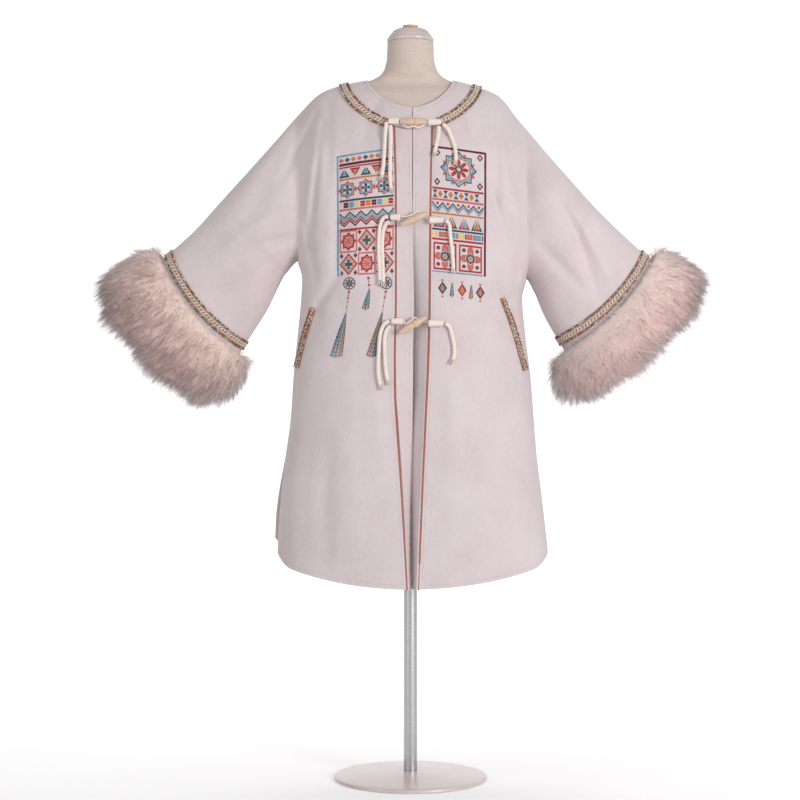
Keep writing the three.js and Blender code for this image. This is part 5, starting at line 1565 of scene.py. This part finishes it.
def left_panel(wide, high):
    """A large compass star over rows of other motifs."""
    frame_wide, inner = 4.8, wide - 5.6
    parts = [
        bar(wide - frame_wide, 0, wide, high, "wine", 0),
        bar(0, high - frame_wide, wide, high, "wine"),
    ]
    for low, top, silk in (
        (89, 84.6, "crimson"), (111.6, 107.2, "coral"), (139, 135.2, "gold"), (171.6, 167.2, "teal"),
        (191.6, 187, "crimson"), (high, high - 3, "sky"),
    ):
        parts.append(bar(0, high - low, inner, high - top, silk))
    x, z = wide / 2 - 2, high - 43.5
    parts += [
        motif("star", x, z, 37, 37, "teal", 0.9, 1.0, 0.78),
        motif("star", x, z, 37, 37, "sky", 0.74, 0.86, 0.78),
        motif("disc", x, z, 26, 26, "gold", 0.84, 0.96, 0.4),
        motif("petals", x, z, 20.6, 20.6, "crimson", 0.4, 1.0, 0.78),
        motif("disc", x, z, 7.6, 7.6, "teal", 0.5, 1.0),
        motif("disc", x, z, 3, 3, "straw"),
    ]
    for number in range(8):
        turn = np.pi * (number + 0.5) / 4
        parts.append(motif("disc", x + 32 * np.cos(turn), z + 32 * np.sin(turn), 3.2, 3.2, "coral"))
    for side in (-1, 1):
        for up in (-1, 1):
            parts.append(motif("lozenge", x + side * 43.5, z + up * 30, 6.4, 8, "wine", 0.42, 1.0))
    for number, start in enumerate(np.arange(0.5, inner - 10, 10.6)):
        kind, silk = (("hourglass", "teal"), ("lozenge", "gold"))[number % 2]
        parts.append(motif(kind, start + 5, high - 98, 5.1, 7.6, silk, 0.0, 1.0, np.pi / 2))
    for number, silk in enumerate(("teal", "sky")):
        parts.append(zigzag(0, inner, high - 121.6 - number * 5.6, 6, 21, 2, silk))
    for number in range(5):
        parts.append(motif("disc", 10.5 + number * 21, high - 117, 2.8, 2.8, "crimson"))
    for number in range(4):
        x = 14 + number * 25.4
        silk, other = (("crimson", "sky"), ("teal", "gold"))[number % 2]
        parts += [
            motif("peak", x, high - 153, 12.2, 12.6, silk, 0.64, 1.0),
            motif("peak", x, high - 155, 6.6, 8, other, 0, 1.0),
        ]
    for number, start in enumerate(np.arange(0.5, inner - 15, 17.4)):
        silk = ("straw", "coral", "sky")[number % 3]
        parts += [
            bar(start, high - 185, start + 12.6, high - 173.6, silk),
            bar(start + 13.8, high - 185, start + 16.4, high - 173.6, "wine", 0),
        ]
    for number in range(2):
        x, z = 26 + number * 52, 33
        parts += [
            motif("square", x, z, 23.5, 27.5, "crimson", 0.86, 1.0, np.pi / 4),
            motif("leaves", x, z, 21, 24, "coral", 0.52, 1.0, np.pi / 4),
            motif("star", x, z, 10.4, 11.4, "teal", 0.5, 1.0),
            motif("disc", x, z, 3.4, 3.4, "gold"),
        ]
        for side in (-1, 1):
            for up in (-1, 1):
                parts.append(motif("disc", x + side * 13.6, z + up * 16.4, 4, 4, "wine"))
    return np.concatenate(parts)


def embroidery():
    """Both breast panels and what hangs below them. A row of a panel falls a little towards the
    side; each stitch lies on the cloth, its ends on it and its middle raised."""
    body = grain([(-1, 0), (-0.72, 0.86), (0.72, 0.86), (1, 0)])
    for side, sign, foot, high, wide, fall in (
        ("right", -1, 1048, 252, 116, (0.03, 0.13)), ("left", 1, 1050, 256, 110, (0.09, 0.12)),
    ):
        panel = (right_panel if side == "right" else left_panel)(wide, high)
        x, z = panel[:, 0], panel[:, 1]
        level = foot + z - (x - wide / 2) * mix(*fall, z / high)
        start = piping_x[side](foot + 100) + 3.4 + 1.6 * (z / high) ** 2
        panel[:, 0], panel[:, 1] = sign * (start + x), level
        panel[:, 4] = np.where(sign < 0, np.pi - panel[:, 4], panel[:, 4])
        fan = ["teal", "teal", "sky", "teal", "gold", "sky", "taupe", "gold", "teal"]
        if side == "right":
            hung = [
                pendant(-125, 1032, -132, 971, (-152, 884, 24), fan),
                pendant(-50, 1032, -58, 972, (-80, 884, 20), fan[::-1]),
                strand([(-86, 1046), (-84, 1018)], "taupe", 0.45, 4),
                bead(-86, 1042, 2.8, "crimson"), bead(-85.4, 1035, 1.7, "gold"),
                bead(-84.6, 1028, 2.6, "crimson"),
                tassel(-84, 1020, -92, 980, 13, ["teal", "sky", "teal", "gold", "sky", "teal"]),
            ]
        else:
            hung = []
            for number, x in enumerate((64, 84, 104, 123, 141)):
                z = 1034 - number * 2.2
                if number % 2:
                    hung.append(tassel(x, z, x - 1, z - 26, 7, ["teal", "gold", "sky", "taupe"]))
                    continue
                silk = ("teal", "crimson", "wine")[number // 2]
                hung += [
                    bead(x, z + 4, 2.6, "coral"),
                    motif("lozenge", x, z - 12, 9.6, 13.6, silk, 0.5, 1.0),
                    motif("lozenge", x, z - 12, 4.4, 6.2, "gold", 0, 1.0, np.pi / 2),
                    bead(x, z - 29, 2, "crimson"),
                ]
        rows = np.concatenate([panel] + hung)
        near_x = np.abs(rows[:, 0]) - rows[:, 2] * np.abs(np.cos(rows[:, 4]))
        rows = rows[near_x > piping_x[side](rows[:, 1]) + 2.2]
        x, z, half, aside, angle = rows.T[:5]
        dx, dz = np.cos(angle) * half, np.sin(angle) * half
        first, last = skin(x - dx, z - dz), skin(x + dx, z + dz)
        centre = skin(x, z)
        out = unit(skin(x, z, False, 1.0) - centre)
        ahead = unit(last - first)
        out = unit(out - ahead * (out * ahead).sum(-1, keepdims=True))
        axes = np.stack([ahead, np.cross(out, ahead), out], -1)
        long, raised = np.linalg.norm(last - first, axis=1) / 2, np.minimum(0.62, aside + 0.1)
        size = np.stack([long, aside, raised], -1)
        points, blocks = scattered(body, (first + last) / 2 * 0.5 + centre * 0.5 + out * 0.2, axes, size)
        draw = np.random.default_rng(40 + sign)
        silks = np.array([shade(code) for code in SILKS.values()])[rows[:, 5].astype(int)]
        tint = np.repeat(silks * draw.uniform(0.86, 1.12, (len(rows), 1)), len(body[0]), 0)
        make(f"embroidery_{side}", points, blocks, SILK, "braid", tint=tint, sharp=0)


# ---------------------------------------------------------------- fur cuffs
def along_sleeve(side):
    """The way down the sleeve."""
    return np.array([SIDES[side] * frames[side]["cos"], 0, -frames[side]["sin"]])


def fur_frame(side, turn):
    """Round the sleeve's end: its edge, the way out from the cloth, the way in to its middle, and
    the way along the sleeve."""
    edge = lower_sleeve(side, 1.0, turn)
    step = 0.02
    tangent = lower_sleeve(side, 1.0, turn + step) - lower_sleeve(side, 1.0, turn - step)
    ring = lower_sleeve(side, 1.0, np.linspace(0, 2 * np.pi, 20, endpoint=False))
    along = along_sleeve(side)
    inward = ring.mean(0) - edge
    inward = inward - (inward @ along)[..., None] * along
    out = unit(np.cross(tangent, along))
    out = np.where((out * inward).sum(-1, keepdims=True) > 0, -out, out)
    return edge, out, inward, along


def fur_profile(k):
    """Past and out of the closed fur profile at the place k, counted in rows, on a smooth line."""
    rows = np.concatenate([FUR[-2:], FUR, FUR[:3]])
    line = smooth_line(rows, 1200)
    far = np.linalg.norm(line[:, None] - FUR[None], axis=2).argmin(0)
    at = np.concatenate([far, [np.linalg.norm(line[600:] - FUR[0], axis=1).argmin() + 600]])
    index = np.interp(k, np.arange(len(FUR) + 1), at)
    return np.interp(index, np.arange(1200), line[:, 0]), np.interp(index, np.arange(1200), line[:, 1])


def fur_point(side, turn, past, far, k):
    """Where the fur's profile stands at a turn, with the lumps of its clumps."""
    edge, out, inward, along = fur_frame(side, turn)
    lump = 1 + FUR_LUMPS["height"] * np.sin(FUR_LUMPS["count"] * turn + 1.9 * k) * smooth(past / 60)
    under = (1 - np.cos(turn)) / 2
    long = mix(1, mix(*FUR_SHARE[side]["past"], under), np.clip((past - 6) / 34, 0, 1))
    wide = mix(1, mix(*FUR_SHARE[side]["out"], under), np.clip((far - 6) / 14, 0, 1))
    point = edge + along * (past * long * np.where(past > 100, lump, 1))[..., None]
    outer = out * (far * wide * lump)[..., None]
    inner = inward * (-far / FUR_HOLLOW)[..., None]
    return point + np.where((far > 0)[..., None], outer, inner)


def hairs(root, tip, splay, gather, width, out, draw, t):
    """Fine flat hairs from root to tip, in rows at the shares t: each leaves its own line by splay
    times sin(0.8 pi t), less what gather takes back, droops as t squared and narrows to a point.
    Their faces look outwards, and their normals are mostly the fur's own way out."""
    count, rings = len(root), len(t) - 1
    opened = (np.sin(np.pi * t * 0.8) * mix(1, 1 - smooth(t), gather[:, None]))[..., None]
    line = root[:, None] + (tip - root)[:, None] * t[None, :, None] + splay[:, None] * opened
    line[..., 2] -= HAIR_DROOP * t ** 2
    ahead = unit(line[:, -1] - line[:, 0])
    flat = unit(np.cross(ahead, out + draw.normal(0, 0.45, (count, 3))))
    half = (width[:, None] * (1 - t[:-1]) ** 0.45)[..., None]
    left, right = line[:, :-1] - flat[:, None] * half, line[:, :-1] + flat[:, None] * half
    points = np.concatenate([np.stack([left, right], 2).reshape(count, 2 * rings, 3), line[:, -1:]], 1)
    facing = np.cross(points[:, 1] - points[:, 0], points[:, 2] - points[:, 0])
    turned = (facing * out).sum(-1) < 0
    shift = (np.arange(count) * (2 * rings + 1))[:, None, None]
    step = 2 * np.arange(rings - 1)[:, None]
    quads = (step + np.array([[0, 1, 3, 2]]))[None] + shift
    point_face = np.array([[2 * rings - 2, 2 * rings - 1, 2 * rings]])[None] + shift
    quads = np.where(turned[:, None, None], quads[..., ::-1], quads).reshape(-1, 4)
    point_face = np.where(turned[:, None, None], point_face[..., ::-1], point_face).reshape(-1, 3)
    normals = unit(out + draw.normal(0, 0.2, (count, 3)))[:, None] + 0.25 * ahead[:, None]
    share = np.concatenate([np.repeat(t[:-1], 2), t[-1:]])
    return points, [quads, point_face], np.broadcast_to(unit(normals), points.shape), share


def fur_core(side):
    """The soft body under the hairs: the profile drawn in to 0.68 of its height and 0.82 of its
    length, with small tufts."""
    k = np.arange(14 * 3) / 3
    past, far = fur_profile(k)
    past_grid, turn_grid = np.meshgrid(past * 0.82, np.linspace(0, 2 * np.pi, 90, endpoint=False))
    far_grid = np.broadcast_to(np.where(far > 0, far * 0.68, far * 0.8), past_grid.shape)
    core = fur_point(side, turn_grid, past_grid, far_grid, np.broadcast_to(k, past_grid.shape))
    tufts = 1.5 * np.sin(turn_grid * 37 + past_grid / 3)[..., None]
    core = core + tufts * unit(core - core.mean((0, 1)))
    rows, columns = core.shape[:2]
    faces = grid_faces(rows + 1, columns, True) % (rows * columns)
    tint = mix(shade("#f6e2d8"), shade("#e2bfba"), smooth(past_grid / FUR_LENGTH)[..., None])
    make(f"fur_core_{side}", core, [faces], FUR_LOOK, "fur", tint=tint, sharp=0)


def fur_stand(side, k, turn, depth):
    """A point of the fur at a share of its depth (1 on its surface), and the way out there."""
    past, far = fur_profile(k)
    at = fur_point(side, turn, past, far, k)
    low = fur_point(side, turn, past * 0.5, np.where(far > 0, far * 0.25, far * 0.6), k)
    return mix(low, at, depth[:, None]), unit(at - low), past


def fur_plumes(side, draw):
    """Plumes from deep in the coat to its surface, each a bundle of barbs that part from its line
    and gather again. Their colour runs from peach by the braid to dusty pink at the rim, where
    many have dark tips, more of them above than below. The dark tips are the fur's own; their
    thinning out towards the underside is partly painted light, lightening the lower side against
    its shade."""
    plumes, count = PLUMES["count"], PLUMES["count"] * PLUMES["barbs"]
    k, turn = draw.uniform(2.4, 11.8, plumes), draw.uniform(0, 2 * np.pi, plumes)
    tip, out, past = fur_stand(side, k, turn, draw.uniform(0.84, 1.05, plumes))
    low_turn, low_k = turn + draw.normal(0, 0.11, plumes), k - draw.normal(0.9, 0.6, plumes)
    root, _, _ = fur_stand(side, np.clip(low_k, 2.1, 11.8), low_turn, np.full(plumes, 0.35))
    tip = tip + draw.normal(0, 4.4, (plumes, 3))
    owner = np.repeat(np.arange(plumes), PLUMES["barbs"])
    lead = (tip - root)[owner]
    start = draw.uniform(0, 0.5, (count, 1))
    stop = np.clip(draw.normal(0.95, 0.07, (count, 1)), 0.7, 1.06)
    splay = draw.normal(0, 1, (count, 3)) * draw.uniform(1.4, 4.2, (count, 1))
    spread = draw.normal(0, 0.9, (count, 3))
    points, blocks, normals, share = hairs(
        root[owner] + lead * start, root[owner] + lead * stop + spread, splay,
        draw.uniform(0.55, 1.0, count), draw.uniform(0.24, 0.5, count), out[owner], draw,
        np.array([0, 0.58, 1.0]),
    )
    zone = np.clip((past[owner] + draw.normal(0, 12, count)) / FUR_LENGTH, 0, 1)[:, None]
    body = mix(shade("#fee6db"), shade("#f6cbc3"), smooth(zone * 1.25))[:, None]
    # Fewer dark tips towards the underside: partly the fur's own, partly painted light that lightens the
    # lower side of the cuff against its shade.
    dark_share = FUR_DARK[side] * mix(1.25, 0.4, (1 - np.cos(turn)) / 2)[owner, None]
    dark = draw.uniform(0, 1, (plumes, 1))[owner] < dark_share * (0.24 + 0.76 * zone ** 3)
    dark_tip = mix(shade("#976f6b"), shade("#4e3c3b"), zone ** 2)
    end = np.where(dark, dark_tip, shade("#fbe3dd"))[:, None]
    tint = mix(body, end, smooth((share[None, :, None] - 0.4) / 0.4))
    tint = tint * draw.uniform(0.92, 1.06, (count, 1, 1)) * FUR_TINT[side]
    coat = make(f"fur_plumes_{side}", points, blocks, FUR_LOOK, "fur", tint=tint, sharp=0,
                normals=normals, replaces=[f"fur_cuff_{side}"])
    coat.visible_shadow = False


def fur_down(side, draw):
    """Finer down between the plumes. Near the sleeve it leans back over the bare edge."""
    count, edge_count, edge_k = DOWN["count"], DOWN["edge"], DOWN["edge_k"]
    k = np.concatenate([
        draw.uniform(1.4, 12.0, count - edge_count), draw.uniform(1.4, edge_k, edge_count)
    ])
    turn = draw.uniform(0, 2 * np.pi, count)
    root, out, past = fur_stand(side, k, turn, draw.uniform(0.5, 0.8, count))
    high = draw.uniform(0.92, 1.1, count)
    tip_k, tip_turn = k + draw.normal(0.3, 0.5, count), turn + draw.normal(0, 0.05, count)
    tip, _, _ = fur_stand(side, tip_k, tip_turn, high)
    lean = np.where(k < edge_k, DOWN["lean"] * draw.uniform(0, 1, count) ** 1.6, 0)
    tip = tip - lean[:, None] * along_sleeve(side)
    points, blocks, normals, _ = hairs(
        root, tip + draw.normal(0, 4, (count, 3)), draw.normal(0, 3, (count, 3)),
        np.ones(count), draw.uniform(0.14, 0.26, count), out, draw, np.array([0, 0.6, 1.0]),
    )
    zone = np.clip((past + draw.normal(0, 15, count)) / FUR_LENGTH, 0, 1)[:, None]
    tint = mix(shade("#feece2"), shade("#f5d3cc"), zone)[:, None]
    tint = tint * draw.uniform(0.9, 1.04, (count, 1, 1)) * FUR_TINT[side]
    tint = np.broadcast_to(tint, points.shape)
    down = make(f"fur_down_{side}", points, blocks, FUR_LOOK, "fur", tint=tint, sharp=0, normals=normals)
    down.visible_shadow = False


def fur_cuffs():
    """Marabou on each sleeve's end. Light comes through its hairs, so only the core casts a shadow."""
    for number, side in enumerate(SIDES):
        draw = np.random.default_rng(20 + number)
        fur_core(side)
        fur_plumes(side, draw)
        fur_down(side, draw)


# ---------------------------------------------------------------- the form and its stand
def dress_form():
    """The limbless form: rings of four quarter ellipses, their half widths and depths smooth
    over the height."""
    z = np.concatenate([np.linspace(1545, 1400, 48), np.linspace(1394, 800, 50)])
    angle = np.linspace(0, 2 * np.pi, 72, endpoint=False)
    right, left, front, behind = (curve(TORSO[:, 0], TORSO[:, k])(z)[:, None] for k in range(1, 5))
    wide = np.where(np.sin(angle) > 0, left, right)
    deep = np.where(np.cos(angle) > 0, front, behind)
    height = np.broadcast_to(z[:, None], wide.shape)
    grid = np.stack([wide * np.sin(angle), -deep * np.cos(angle), height], -1)
    make("linen_form", *capped(grid), LINEN, "linen", replaces=["form_body"])
    for name, rows, material, slot, node_name in (
        ("neck_cap_turned", CAP, LACQUER, "lacquer", "neck_cap"),
        ("cap_peg_turned", CAP_PEG, PEG_WOOD, "peg_wood", "cap_peg"),
        ("pole_tube", POLE, STEEL, "steel", "pole"),
        ("foot_plate", FOOT, LACQUER, "lacquer", "foot"),
    ):
        mesh = revolved(turned_rows(rows, 24), 80)
        make(name, *mesh, material, slot, sharp=35, replaces=[node_name])


camera()
tails()
fastenings()
studio()
neck_border()
fronts()
back()
sleeves()
trims()
front_edges()
stitch_rows()
embroidery()
fur_cuffs()
dress_form()
